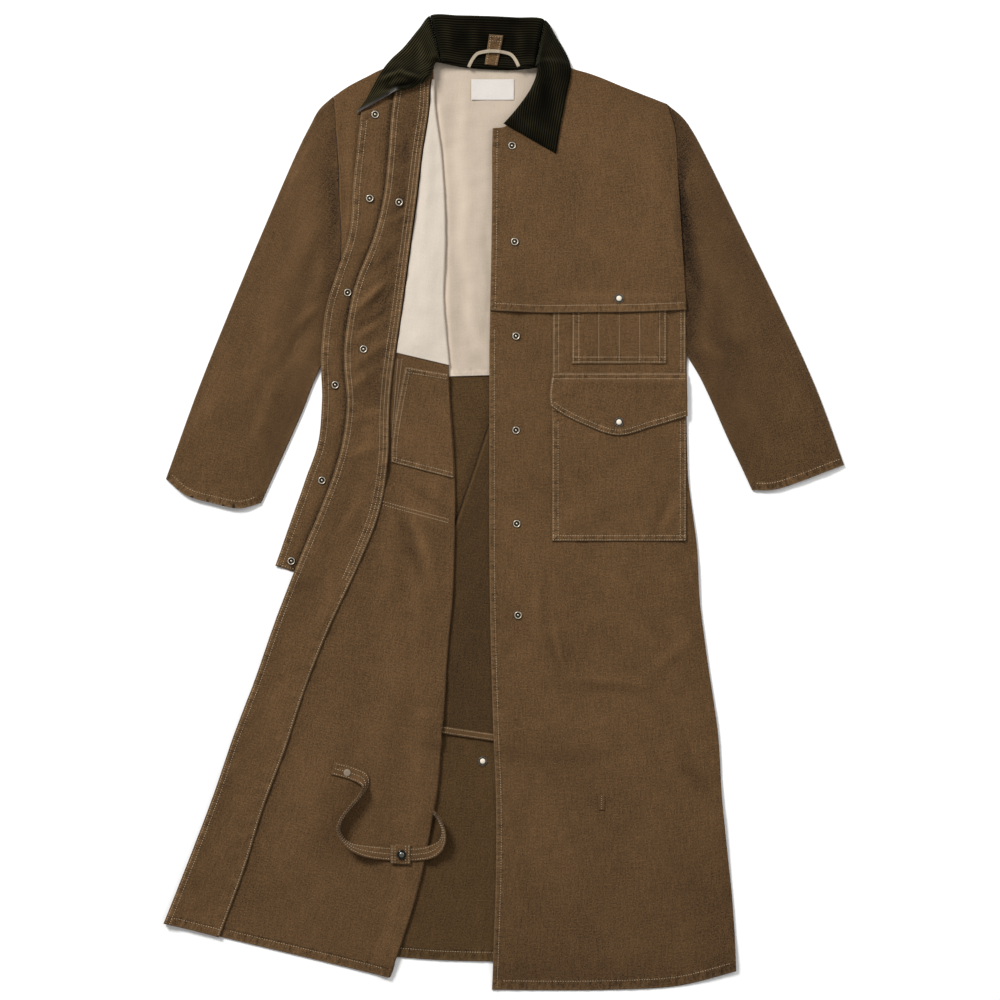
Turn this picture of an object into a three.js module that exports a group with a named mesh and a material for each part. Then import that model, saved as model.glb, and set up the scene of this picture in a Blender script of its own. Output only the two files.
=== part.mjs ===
// A duster coat of heavy cotton canvas, laid open on its back on a flat surface.
// Millimetres. X runs to the right across the laid coat, Y from its hem to its collar, Z up from the surface.
// Left and right in the names are the wearer's: the coat's left front lies at +X.
import * as THREE from 'three';

// Thicknesses of the cloths and of the parts sewn from more than one layer
const canvas = 1.6;
const doubled = 2.6;
const liningCloth = 0.8;
const webbing = 2.2;
const tape = 1.2;
const corduroyEdge = 3;
const labelCloth = 0.5;

// Room left between pieces that lie on each other or meet at a seam
const gap = 0.36;

// Rows of points laid for each section of a table, the same on both sides of a seam
const stepsPerSection = 2;

// Sizes of the fasteners and straps
const ringSnapRadius = 6;
const capSnapRadius = 7.5;
const strapWidth = 20;
const loopWidth = 5;
const foldRoom = 2.2;
const pocketRoom = 1.2;
const sleeveRoom = 2.4;
const sleeveRoomMost = 3.5;

const finishes = {
  shell: { color: '#624931', roughness: 0.93, metalness: 0 },
  inside: { color: '#5a4230', roughness: 0.93, metalness: 0 },
  lining: { color: '#d8cbb8', roughness: 0.9, metalness: 0 },
  corduroy: { color: '#221b14', roughness: 0.95, metalness: 0 },
  label: { color: '#e8e2da', roughness: 0.85, metalness: 0 },
  brass: { color: '#6f6250', roughness: 0.4, metalness: 0.9 },
  pearl: { color: '#e9e4dc', roughness: 0.25, metalness: 0.1 },
};

// Back panel: sections from hem to neck, each at its right side seam, its middle and its left side seam
const backSections = [
  { right: [-174, -680], middle: [1, -688], left: [346, -692] },
  { right: [-153, -603], middle: [1, -603], left: [343, -603] },
  { right: [-133, -513], middle: [1, -513], left: [334, -513] },
  { right: [-123, -421], middle: [1, -421], left: [325, -421] },
  { right: [-118, -325], middle: [0, -325], left: [318, -325] },
  { right: [-120, -228], middle: [0, -228], left: [304, -228] },
  { right: [-124, -130], middle: [-1, -130], left: [292, -130] },
  { right: [-133, -40], middle: [-3, -40], left: [286, -40] },
  { right: [-154, 42], middle: [-6, 42], left: [276, 42] },
  { right: [-192, 117], middle: [-8, 117], left: [273, 117] },
  { right: [-234, 177], middle: [-10, 184], left: [274, 196] },
  { right: [-259, 234], middle: [-12, 234], left: [274, 220] },
  { right: [-249, 304], middle: [-15, 304], left: [273, 289] },
  { right: [-244, 387], middle: [-19, 387], left: [267, 387] },
  { right: [-247, 469], middle: [-22, 469], left: [261, 484] },
  { right: [-250, 537], middle: [-24, 559], left: [256, 559] },
  { right: [-255, 610], middle: [-25, 651], left: [244, 598] },
];
const backRightShoulder = [
  [-255, 610], [-231, 626], [-206, 639], [-178, 652], [-106, 661], [-66, 655], [-25, 651],
];
const backLeftShoulder = [[-25, 651], [13, 650], [54, 657], [102, 649], [150, 633], [198, 615], [244, 598]];

// Upper lining of the back, from the waist to the neck
const backLiningSections = [
  { right: [-100, 189], left: [4, 192] },
  { right: [-108, 274], left: [6, 288] },
  { right: [-110, 349], left: [8, 387] },
  { right: [-111, 484], left: [10, 469] },
  { right: [-115, 544], left: [16, 529] },
  { right: [-118, 604], left: [36, 582] },
  { right: [-105, 653], left: [56, 648] },
];

// Fan-shaped riding gusset inside the back, from its hem up to its point
const gussetSections = [
  { right: [-112, -342], left: [144, -358] },
  { right: [-111, -265], left: [138, -280] },
  { right: [-105, -175], left: [126, -175] },
  { right: [-94, -100], left: [106, -100] },
  { right: [-73, -28], left: [81, -28] },
  { right: [-49, 43], left: [54, 43] },
  { right: [-24, 117], left: [27, 117] },
  { right: [-6, 166], left: [6, 166] },
];
const gussetHem = [[-112, -342], [-48, -352], [16, -360], [81, -361], [144, -358]];
const gussetBandDepth = 11;

// Left front: its front edge, its side seam and armhole, and its hem and neck edges
const leftFrontSections = [
  { edge: [-18, -730], side: [348, -702] },
  { edge: [-15, -648], side: [345, -633] },
  { edge: [-12, -550], side: [337, -547] },
  { edge: [-12, -445], side: [327, -445] },
  { edge: [-16, -340], side: [321, -348] },
  { edge: [-19, -243], side: [307, -250] },
  { edge: [-21, -153], side: [294, -153] },
  { edge: [-22, -63], side: [289, -63] },
  { edge: [-22, 27], side: [277, 27] },
  { edge: [-22, 117], side: [274, 117] },
  { edge: [-22, 199], side: [274, 196] },
  { edge: [-22, 220], side: [274, 220] },
  { edge: [-21, 288], side: [273, 289] },
  { edge: [-19, 379], side: [267, 387] },
  { edge: [-18, 469], side: [261, 484] },
  { edge: [-18, 529], side: [256, 559] },
  { edge: [-17, 561], side: [244, 598] },
];
const leftFrontHem = [[-18, -730], [73, -731], [165, -730], [262, -724], [348, -702]];
const leftFrontNeck = [[-17, 561], [4, 565], [36, 603], [58, 655], [120, 646], [183, 622], [244, 598]];
const yokeSection = 12;
const yokeHem = [[-21, 288], [54, 285], [127, 285], [201, 286], [273, 289]];

// Pockets of the left front, by their left, right, top and bottom sides
const pocketPanel = { left: 73, right: 272, top: 304, bottom: 198 };
const shellPocket = { left: 102, right: 243, top: 304, bottom: 209 };
const cargoPocket = { left: 72, right: 273, top: 196, bottom: -57 };
const pocketFlapTop = [[73, 195], [274, 195]];
const pocketFlapPoint = [[70, 145], [84, 135], [120, 117], [170, 101], [222, 114], [275, 130]];
const bartack = { left: 141, right: 151, top: -438, bottom: -460 };

// Right front, folded back on itself: sections from hem to neck, each at the hidden side seam or armhole,
// at the fold, at the inner edge of its facing and at its front edge
const rightFrontSections = [
  { side: [-181, -690], fold: [-174, -711], facing: [-427, -651], edge: [-510, -630] },
  { side: [-154, -603], fold: [-138, -603], facing: [-388, -545], edge: [-469, -526] },
  { side: [-135, -513], fold: [-117, -513], facing: [-361, -457], edge: [-436, -439] },
  { side: [-124, -421], fold: [-102, -421], facing: [-328, -369], edge: [-406, -351] },
  { side: [-120, -325], fold: [-94, -325], facing: [-298, -278], edge: [-372, -261] },
  { side: [-121, -228], fold: [-87, -228], facing: [-262, -187], edge: [-340, -169] },
  { side: [-126, -130], fold: [-79, -130], facing: [-220, -97], edge: [-304, -78] },
  { side: [-135, -40], fold: [-76, -40], facing: [-188, -16], edge: [-270, 3] },
  { side: [-156, 42], fold: [-76, 42], facing: [-174, 64], edge: [-244, 81] },
  { side: [-193, 117], fold: [-80, 117], facing: [-172, 137], edge: [-235, 151] },
  { side: [-234, 177], fold: [-84, 169], facing: [-168, 188], edge: [-239, 204] },
  { side: [-259, 234], fold: [-85, 207], facing: [-163, 225], edge: [-238, 243] },
  { side: [-249, 304], fold: [-93, 297], facing: [-151, 309], edge: [-223, 324] },
  { side: [-244, 387], fold: [-91, 387], facing: [-140, 392], edge: [-195, 397] },
  { side: [-247, 469], fold: [-92, 459], facing: [-131, 459], edge: [-180, 459] },
  { side: [-250, 537], fold: [-97, 526], facing: [-123, 525], edge: [-173, 522] },
  { side: [-253, 574], fold: [-106, 592], facing: [-113, 591], edge: [-168, 585] },
  { side: [-255, 610], fold: [-108, 648], facing: [-111, 634], edge: [-161, 630] },
];
const rightShoulder = [[-255, 610], [-231, 626], [-206, 639], [-178, 652], [-140, 656], [-108, 648]];
const waistSection = 11;

// Fly strip that carries the ring snaps, along the right front's edge
const flyStripSections = [
  { outer: [-343, -94], inner: [-301, -108] },
  { outer: [-322, -34], inner: [-273, -37] },
  { outer: [-297, 37], inner: [-246, 37] },
  { outer: [-279, 90], inner: [-230, 90] },
  { outer: [-273, 154], inner: [-222, 154] },
  { outer: [-274, 219], inner: [-225, 219] },
  { outer: [-267, 288], inner: [-216, 292] },
  { outer: [-252, 340], inner: [-196, 349] },
  { outer: [-232, 403], inner: [-175, 415] },
  { outer: [-225, 484], inner: [-163, 484] },
  { outer: [-219, 540], inner: [-159, 540] },
  { outer: [-214, 586], inner: [-156, 604] },
];

// Inside pocket of the right front
const insidePocketSections = [
  { left: [-169, 61], right: [-80, 37] },
  { left: [-168, 91], right: [-80, 79] },
  { left: [-160, 145], right: [-84, 136] },
  { left: [-148, 204], right: [-88, 193] },
];

// Sleeves, laid flat: the outer edge, the inner seam and the cuff; the armhole follows the side of the back
// from the shoulder down to the underarm, which is one of the back's sections
const underarmSection = 11;
const seamRoom = 0.7;
const leftSleeve = {
  outer: [[510, 57], [469, 169], [415, 289], [357, 409], [298, 529], [281, 560], [268, 578]],
  inner: [[372, 19], [354, 58], [334, 100], [313, 148], [294, 188]],
  cuff: [[510, 57], [483, 47], [444, 32], [405, 20], [372, 19]],
  seam: seamRoom,
};
const rightSleeve = {
  outer: [[-507, 36], [-459, 169], [-411, 289], [-361, 409], [-309, 529], [-291, 565], [-277, 590]],
  inner: [[-364, 0], [-342, 48], [-321, 94], [-300, 142], [-282, 188]],
  cuff: [[-507, 36], [-477, 12], [-438, 0], [-396, -8], [-364, 0]],
  seam: -seamRoom,
};

// Collar: sections from the tip of its right fall round the back of the neck to the tip of its left fall,
// with the height of the rolled corduroy at the outer edge and at the neck edge
const collarSections = [
  { outer: [-222, 583], neck: [-162, 618], outerHeight: 3, neckHeight: 6 },
  { outer: [-208, 603], neck: [-145, 619], outerHeight: 3, neckHeight: 8 },
  { outer: [-186, 643], neck: [-126, 626], outerHeight: 3, neckHeight: 11 },
  { outer: [-171, 664], neck: [-111, 636], outerHeight: 4, neckHeight: 14 },
  { outer: [-151, 683], neck: [-106, 648], outerHeight: 6, neckHeight: 17 },
  { outer: [-127, 712], neck: [-102, 660], outerHeight: 14, neckHeight: 19 },
  { outer: [-111, 730], neck: [-94, 661], outerHeight: 24, neckHeight: 19 },
  { outer: [-66, 730], neck: [-60, 655], outerHeight: 27, neckHeight: 6 },
  { outer: [-24, 729], neck: [-25, 652], outerHeight: 27, neckHeight: 5 },
  { outer: [18, 727], neck: [12, 651], outerHeight: 27, neckHeight: 6 },
  { outer: [61, 724], neck: [46, 654], outerHeight: 24, neckHeight: 19 },
  { outer: [78, 700], neck: [49, 652], outerHeight: 12, neckHeight: 19 },
  { outer: [100, 655], neck: [48, 640], outerHeight: 4, neckHeight: 15 },
  { outer: [93, 607], neck: [39, 619], outerHeight: 3, neckHeight: 11 },
  { outer: [85, 565], neck: [19, 591], outerHeight: 3, neckHeight: 8 },
  { outer: [78, 523], neck: [-1, 568], outerHeight: 3, neckHeight: 5 },
];
const collarTab = { low: [[-29, 656], [-10, 654]], high: [[-22, 700], [-1, 698]] };
const hangerLoop = [[-52, 654], [-48, 664], [-33, 673], [-18, 675], [-1, 673], [15, 664], [22, 652]];
const neckLabel = { left: -49, right: 15, top: 635, bottom: 604 };

// Leg strap, from where it comes out under the fold to its end tab, with how far it leans on its edge
const legStrapRoute = [
  { at: [-94, -462], lean: 30 },
  { at: [-90, -477], lean: 50 },
  { at: [-88, -494], lean: 60 },
  { at: [-93, -511], lean: 45 },
  { at: [-106, -521], lean: 15 },
  { at: [-125, -525], lean: 0 },
  { at: [-154, -526], lean: 0 },
  { at: [-180, -525], lean: 5 },
  { at: [-208, -521], lean: 30 },
  { at: [-231, -514], lean: 65 },
  { at: [-243, -502], lean: 78 },
  { at: [-247, -487], lean: 80 },
  { at: [-243, -472], lean: 80 },
  { at: [-231, -456], lean: 80 },
  { at: [-216, -438], lean: 76 },
  { at: [-209, -424], lean: 60 },
  { at: [-215, -411], lean: 24 },
  { at: [-232, -404], lean: 0 },
  { at: [-256, -398], lean: 0 },
];
const strapKeeper = { left: -170, right: -140, top: -511, bottom: -541 };

// Fasteners, by the middle of each
const leftFrontSnaps = [[12, 535], [16, 391], [18, 250], [18, 109], [19, -31], [21, -168]];
const flyStripSnaps = [[-193, 582], [-201, 456], [-234, 315], [-253, 177], [-273, 34], [-319, -87]];
const facingSnaps = [[-157, 450], [-210, 230]];
const yokeCap = [172, 306];
const flapCap = [172, 121];
const backCap = [-32, -387];
const strapEndSnap = [-235, -404];
const keeperSnap = [-153, -526];

// Largest soft folds of the laid cloth: a crest from one point to another, its half width and its height
const leftFrontFolds = [
  { from: [70, -60], to: [40, -330], width: 34, height: 2.2 },
  { from: [255, -60], to: [268, -300], width: 26, height: 2.4 },
  { from: [200, -330], to: [246, -700], width: 42, height: 2.2 },
  { from: [60, -420], to: [70, -700], width: 46, height: 1.8 },
];
const rightFrontFolds = [
  { from: [-150, -150], to: [-215, -560], width: 30, height: 2.2 },
  { from: [-130, 20], to: [-120, -200], width: 20, height: 1.6 },
];
const leftSleeveFolds = [
  { from: [300, 300], to: [330, 190], width: 16, height: 1.8 },
  { from: [380, 240], to: [440, 80], width: 22, height: 1.4 },
];
const rightSleeveFolds = [
  { from: [-290, 330], to: [-330, 190], width: 16, height: 1.8 },
  { from: [-390, 240], to: [-440, 60], width: 22, height: 1.4 },
];

const coat = new THREE.Group();

function addPiece(name, geometry, finish) {
  geometry.computeVertexNormals();
  const piece = new THREE.Mesh(geometry, new THREE.MeshStandardMaterial(finishes[finish]));
  piece.name = name;
  coat.add(piece);
}

// Calls back for points spread over each triangle of a grid of points, with its corners and their shares
function overTriangles(grid, spacing, visit) {
  for (let row = 0; row + 1 < grid.length; row++) {
    for (let column = 0; column + 1 < grid[row].length; column++) {
      const [near, far] = [grid[row], grid[row + 1]];
      const corners = [near[column], near[column + 1], far[column + 1], far[column]];
      for (const [a, b, c] of [[0, 1, 2], [0, 2, 3]]) {
        const triangle = [corners[a], corners[b], corners[c]];
        const longest = Math.max(
          triangle[0].distanceTo(triangle[1]),
          triangle[1].distanceTo(triangle[2]),
          triangle[2].distanceTo(triangle[0]),
        );
        const steps = Math.ceil(longest / spacing);
        for (let i = 0; i <= steps; i++) {
          for (let j = 0; i + j <= steps; j++) visit(triangle, [i / steps, j / steps, 1 - (i + j) / steps]);
        }
      }
    }
  }
}

function blend(triangle, shares, axis) {
  return triangle[0][axis] * shares[0] + triangle[1][axis] * shares[1] + triangle[2][axis] * shares[2];
}

// A pile of cloth: the height of what is laid so far, kept on square cells over the whole coat
class Pile {
  cell = 3;
  reach = 900;
  rowStride = 1000;
  heights = new Map();

  index(x, y) {
    const [column, row] = [x, y].map((place) => Math.floor((place + this.reach) / this.cell));
    return row * this.rowStride + column;
  }

  topAt(x, y) {
    const middle = this.index(x, y);
    let top = 0;
    for (const row of [-this.rowStride, 0, this.rowStride]) {
      for (const column of [-1, 0, 1]) top = Math.max(top, this.heights.get(middle + row + column) ?? 0);
    }
    return top;
  }

  supportAt(x, y) {
    const top = this.topAt(x, y);
    return top > 0 ? top + gap : 0;
  }

  supportWithin(x, y, radius) {
    let support = this.supportAt(x, y);
    for (let turn = 0; turn < 12; turn++) {
      const angle = (turn * Math.PI) / 6;
      for (const reach of [radius / 2, radius]) {
        support = Math.max(support, this.supportAt(x + reach * Math.cos(angle), y + reach * Math.sin(angle)));
      }
    }
    return support;
  }

  // Lets a grid of points down on the pile: no point between them sinks into what already lies there,
  // and none is lifted higher than what lies under the faces beside it
  settle(grid) {
    for (const point of grid.flat()) point.z = this.supportAt(point.x, point.y);
    for (let pass = 0; pass < 14; pass++) {
      overTriangles(grid, this.cell, (triangle, shares) => {
        const support = this.supportAt(blend(triangle, shares, 'x'), blend(triangle, shares, 'y'));
        const missing = support - blend(triangle, shares, 'z');
        if (missing <= 0.01) return;
        const below = (corner) => Math.max(0, support - triangle[corner].z);
        const rise = missing / (shares[0] * below(0) + shares[1] * below(1) + shares[2] * below(2));
        triangle.forEach((point, corner) => {
          point.z += rise * below(corner);
        });
      });
    }
  }

  add(grid) {
    overTriangles(grid, this.cell / 2, (triangle, shares) => {
      const cell = this.index(blend(triangle, shares, 'x'), blend(triangle, shares, 'y'));
      const height = blend(triangle, shares, 'z');
      if (height > (this.heights.get(cell) ?? 0)) this.heights.set(cell, height);
    });
  }

  addPile(other) {
    for (const [cell, height] of other.heights) {
      this.heights.set(cell, Math.max(height, this.heights.get(cell) ?? 0));
    }
  }
}

// The body of the coat lies on one pile; each sleeve meets it at the armhole and lies on a pile of its own
const body = new Pile();
const sleevePiles = { left: new Pile(), right: new Pile() };

// A smooth edge through a few points, as a function of the share of its length from 0 to 1
function smoothEdge(points) {
  const knots = points.map(([x, y]) => new THREE.Vector3(x, y, 0));
  const curve = new THREE.CatmullRomCurve3(knots, false, 'centripetal');
  return (share) => curve.getPoint(share);
}

function straightEdge(from, to) {
  const start = new THREE.Vector3(from[0], from[1], 0);
  const end = new THREE.Vector3(to[0], to[1], 0);
  return (share) => start.clone().lerp(end, share);
}

function column(sections, name) {
  return smoothEdge(sections.map((section) => section[name]));
}

function partOf(edge, from, to) {
  return (share) => edge(from + (to - from) * share);
}

// Points of a flat piece between a left and a right edge that both run upwards
function loft(left, right, rows, columns) {
  return Array.from({ length: rows + 1 }, (_, row) => (
    Array.from({ length: columns + 1 }, (_, step) => left(row / rows).lerp(right(row / rows), step / columns))
  ));
}

// The same, with curved lower and upper edges that run from left to right
function patch(left, right, low, high, rows, columns) {
  const grid = loft(left, right, rows, columns);
  const lowLine = (share) => left(0).lerp(right(0), share);
  const highLine = (share) => left(1).lerp(right(1), share);
  grid.forEach((points, row) => points.forEach((point, step) => {
    const across = step / columns;
    const along = row / rows;
    point.addScaledVector(low(across).sub(lowLine(across)), 1 - along);
    point.addScaledVector(high(across).sub(highLine(across)), along);
  }));
  return grid;
}

function rectangle(sides, rows, columns) {
  const left = straightEdge([sides.left, sides.bottom], [sides.left, sides.top]);
  const right = straightEdge([sides.right, sides.bottom], [sides.right, sides.top]);
  return loft(left, right, rows, columns);
}

// A closed body between two grids of points of the same size
function solidBetween(low, high) {
  const rows = low.length;
  const columns = low[0].length;
  const points = [...low.flat(), ...high.flat()];
  const below = (row, step) => row * columns + step;
  const above = (row, step) => rows * columns + below(row, step);
  const faces = [];
  const addFace = (a, b, c, d) => faces.push(a, b, c, a, c, d);
  for (let row = 0; row + 1 < rows; row++) {
    for (let step = 0; step + 1 < columns; step++) {
      addFace(above(row, step), above(row, step + 1), above(row + 1, step + 1), above(row + 1, step));
      faces.push(below(row, step), below(row + 1, step + 1), below(row, step + 1));
      faces.push(below(row, step), below(row + 1, step), below(row + 1, step + 1));
    }
  }
  for (let row = 0; row + 1 < rows; row++) {
    const last = columns - 1;
    addFace(below(row, last), below(row + 1, last), above(row + 1, last), above(row, last));
    addFace(below(row + 1, 0), below(row, 0), above(row, 0), above(row + 1, 0));
  }
  for (let step = 0; step + 1 < columns; step++) {
    const last = rows - 1;
    addFace(below(0, step), below(0, step + 1), above(0, step + 1), above(0, step));
    addFace(below(last, step + 1), below(last, step), above(last, step), above(last, step + 1));
  }
  return closedBody(points, faces);
}

// A body from its points and faces, turned right side out
function closedBody(points, faces) {
  let volume = 0;
  for (let i = 0; i < faces.length; i += 3) {
    const [a, b, c] = [points[faces[i]], points[faces[i + 1]], points[faces[i + 2]]];
    volume += a.dot(b.clone().cross(c));
  }
  const geometry = new THREE.BufferGeometry().setFromPoints(points);
  geometry.setIndex(volume > 0 ? faces : faces.reverse());
  return geometry;
}

function crestHeight(folds, x, y) {
  const point = new THREE.Vector3(x, y, 0);
  return folds.reduce((height, fold) => {
    const crest = new THREE.Line3(new THREE.Vector3(...fold.from, 0), new THREE.Vector3(...fold.to, 0));
    const share = crest.closestPointToPointParameter(point, true);
    const away = crest.at(share, new THREE.Vector3()).distanceTo(point);
    const fade = Math.sin(Math.PI * (0.12 + 0.76 * share));
    return height + fold.height * fade * Math.exp(-((away / fold.width) ** 2));
  }, 0);
}

// Lays a flat piece on the pile as a wall of cloth, raised by its folds, and adds it to the coat
function layPiece(name, grid, thickness, finish, { lift = () => 0, pile = body } = {}) {
  pile.settle(grid);
  pile.add(wallUp(name, grid, thickness, finish, lift));
}

// Builds the wall of a piece that is already let down on the pile, and gives back its upper side
function wallUp(name, grid, thickness, finish, lift = () => 0) {
  grid.forEach((points, row) => points.forEach((point, step) => {
    point.z += lift(point, row / (grid.length - 1), step / (points.length - 1));
  }));
  const thick = typeof thickness === 'number' ? () => thickness : thickness;
  const high = grid.map((points, row) => points.map((point, step) => {
    const height = thick(row / (grid.length - 1), step / (points.length - 1));
    return new THREE.Vector3(point.x, point.y, point.z + height);
  }));
  addPiece(name, solidBetween(grid, high), finish);
  return high;
}

// Snap fasteners, turned about their own axis and seated on the cloth under them, by radius and height
const ringSnapProfile = [
  [0, 0], [ringSnapRadius, 0], [ringSnapRadius, 1], [4.8, 1.9], [3.4, 1.3], [2.6, 0.6], [0, 0.6],
];
const capSnapProfile = [[0, 0], [capSnapRadius, 0], [capSnapRadius, 1.1], [6, 2.2], [3, 2.9], [0, 3.1]];

function addSnap(name, [x, y], profile, finish, sides = 12) {
  const radius = profile[1][0];
  const turned = new THREE.LatheGeometry(profile.map(([r, h]) => new THREE.Vector2(r, h)), sides);
  turned.rotateX(Math.PI / 2);
  turned.translate(x, y, body.supportWithin(x, y, radius - body.cell));
  addPiece(name, turned, finish);
}

function addRingSnaps(name, places) {
  places.forEach((at, number) => addSnap(`${name}_${number + 1}`, at, ringSnapProfile, 'brass'));
}

function addBack() {
  const [right, middle, left] = ['right', 'middle', 'left'].map((name) => column(backSections, name));
  const first = backSections[0];
  const rightHem = straightEdge(first.right, first.middle);
  const leftHem = straightEdge(first.middle, first.left);
  const rows = stepsPerSection * (backSections.length - 1);
  const rightHalf = patch(right, middle, rightHem, smoothEdge(backRightShoulder), rows, 4);
  const leftHalf = patch(middle, left, leftHem, smoothEdge(backLeftShoulder), rows, 4);
  layPiece('back', rightHalf.map((points, row) => [...points, ...leftHalf[row].slice(1)]), canvas, 'inside');
}

function addBackInside() {
  layPiece('back_gusset', patch(
    column(gussetSections, 'right'),
    column(gussetSections, 'left'),
    smoothEdge(gussetHem),
    straightEdge(gussetSections[7].right, gussetSections[7].left),
    10,
    5,
  ), canvas, 'inside');
  const bandTop = smoothEdge(gussetHem.map(([x, y]) => [x, y + gussetBandDepth]));
  layPiece('back_gusset_band', loft(smoothEdge(gussetHem), bandTop, 8, 1), canvas, 'inside');
  const [right, left] = ['right', 'left'].map((name) => column(backLiningSections, name));
  layPiece('back_lining', loft(right, left, 12, 4), liningCloth, 'lining');
  layPiece('neck_label', rectangle(neckLabel, 1, 2), labelCloth, 'label');
}

// Each sleeve is a flattened tube: an under sleeve on the surface and a top sleeve over it
function addSleeve(side, shape, folds) {
  const armholeSteps = stepsPerSection * (backSections.length - 1 - underarmSection);
  const armholeLine = partOf(column(backSections, side), 1, underarmSection / (backSections.length - 1));
  const armhole = (share) => armholeLine(share).setX(armholeLine(share).x + shape.seam);
  const edges = [
    smoothEdge([...shape.outer, armhole(0).toArray()]),
    smoothEdge([...shape.inner, armhole(1).toArray()]),
    smoothEdge(shape.cuff),
    armhole,
  ];
  const pile = sleevePiles[side];
  layPiece(`sleeve_${side}_under`, patch(...edges, 11, armholeSteps), canvas, 'shell', { pile });
  const lift = (point, along, across) => {
    const tube = Math.sin(Math.PI * across) ** 0.6 * (1 - 0.8 * along ** 4);
    return Math.min((sleeveRoom + crestHeight(folds, point.x, point.y)) * tube, sleeveRoomMost);
  };
  layPiece(`sleeve_${side}_top`, patch(...edges, 14, armholeSteps), canvas, 'shell', { pile, lift });
}

function leftFrontGrid(from, to, low, high, rows, columns) {
  const [edge, side] = ['edge', 'side'].map((name) => column(leftFrontSections, name));
  return patch(partOf(edge, from, to), partOf(side, from, to), low, high, rows, columns);
}

function addLeftFront() {
  const rows = stepsPerSection * (leftFrontSections.length - 1);
  const grid = leftFrontGrid(0, 1, smoothEdge(leftFrontHem), smoothEdge(leftFrontNeck), rows, 9);
  layPiece('left_front', grid, canvas, 'shell', { lift: (point, along, across) => (
    crestHeight(leftFrontFolds, point.x, point.y) * Math.min(1, across * 6, (1 - across) * 6)
  ) });
}

function addLeftPockets() {
  layPiece('left_pocket_panel', rectangle(pocketPanel, 4, 6), canvas, 'shell');
  layPiece('left_shell_pocket', rectangle(shellPocket, 4, 5), canvas, 'shell');
  const bag = (point, along, across) => pocketRoom * Math.sin(Math.PI * across) * Math.sin(Math.PI * along);
  layPiece('left_cargo_pocket', rectangle(cargoPocket, 7, 6), canvas, 'shell', { lift: bag });
  const point = smoothEdge(pocketFlapPoint);
  const top = straightEdge(...pocketFlapTop);
  layPiece('left_pocket_flap', loft(point, top, 10, 2), doubled, 'shell');
  layPiece('bartack', rectangle(bartack, 1, 1), tape, 'shell');
}

function addStormYoke() {
  const last = leftFrontSections.length - 1;
  const from = yokeSection / last;
  const rows = stepsPerSection * (last - yokeSection);
  const grid = leftFrontGrid(from, 1, smoothEdge(yokeHem), smoothEdge(leftFrontNeck), rows, 9);
  layPiece('left_storm_yoke', grid, canvas, 'shell');
}

// The right front is one wall: its lower layer from the side seam to the fold, then back over itself, with
// the fly strip under its turned-back edge
function addRightFront() {
  const lines = ['side', 'fold', 'facing', 'edge'];
  const [side, fold, facing, edge] = lines.map((name) => column(rightFrontSections, name));
  const first = rightFrontSections[0];
  const rows = stepsPerSection * (rightFrontSections.length - 1);
  const lower = patch(side, fold, straightEdge(first.side, first.fold), smoothEdge(rightShoulder), rows, 3);
  body.settle(lower);
  body.add(lower.map((points) => points.map((point) => point.clone().setZ(point.z + canvas))));
  body.addPile(sleevePiles.right);
  const [stripOuter, stripInner] = ['outer', 'inner'].map((name) => column(flyStripSections, name));
  layPiece('right_fly_strip', loft(stripOuter, stripInner, 20, 2), doubled, 'shell');
  addRingSnaps('fly_strip_snap', flyStripSnaps);
  const upper = loft(fold, facing, rows, 4).map((points, row) => (
    [...points, ...loft(facing, edge, rows, 3)[row].slice(1)]
  ));
  body.settle(upper);
  const lastStep = upper[0].length - 1;
  upper.forEach((points) => points.forEach((point, step) => {
    const nearFold = Math.exp(-step / 1.6);
    const flat = Math.min(1, (lastStep - step) / 2);
    const crest = crestHeight(rightFrontFolds, point.x, point.y);
    point.z += foldRoom * nearFold + crest * flat * Math.min(1, step);
  }));

  // Across the fold the wall turns round half a circle between its two layers
  const outside = lower.map((points, row) => {
    const bottom = points[points.length - 1].z;
    const top = upper[row][0].z + canvas;
    return foldArc(points, upper[row], (bottom + top) / 2, (top - bottom) / 2, 0, canvas);
  });
  const inside = lower.map((points, row) => {
    const bottom = points[points.length - 1].z;
    const top = upper[row][0].z + canvas;
    return foldArc(points, upper[row], (bottom + top) / 2, (top - bottom) / 2 - canvas, canvas, 0);
  });
  addPiece('right_front', solidBetween(outside, inside), 'shell');
  body.add(outside.map((points) => points.slice(lower[0].length)));
}

// One section of the folded front: flat, round the fold by its radius, and flat again
function foldArc(lowerPoints, upperPoints, middle, radius, lowerRise, upperRise) {
  const centre = lowerPoints[lowerPoints.length - 1];
  const arc = [-90, -45, 0, 45, 90].map((degrees) => {
    const angle = THREE.MathUtils.degToRad(degrees);
    const [out, up] = [radius * Math.cos(angle), radius * Math.sin(angle)];
    return new THREE.Vector3(centre.x + out, centre.y, middle + up);
  });
  return [
    ...lowerPoints.slice(0, -1).map((point) => point.clone().setZ(point.z + lowerRise)),
    ...arc,
    ...upperPoints.slice(1).map((point) => point.clone().setZ(point.z + upperRise)),
  ];
}

function addRightFrontInside() {
  const last = rightFrontSections.length - 1;
  const [fold, facing, edge] = ['fold', 'facing', 'edge'].map((name) => column(rightFrontSections, name));
  const beside = (line, shift) => (share) => line(share).setX(line(share).x + shift);
  const liningPart = (line) => partOf(line, waistSection / last, 0.985);
  layPiece('right_front_lining', loft(
    liningPart(beside(facing, 2)),
    liningPart(beside(fold, -2)),
    10,
    2,
  ), liningCloth, 'lining');
  const pocketLeft = column(insidePocketSections, 'left');
  const pocketRight = column(insidePocketSections, 'right');
  layPiece('right_inside_pocket', loft(pocketLeft, pocketRight, 5, 3), canvas, 'inside');
  layPiece('right_facing', loft(edge, facing, 28, 2), canvas, 'inside');
}

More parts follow.
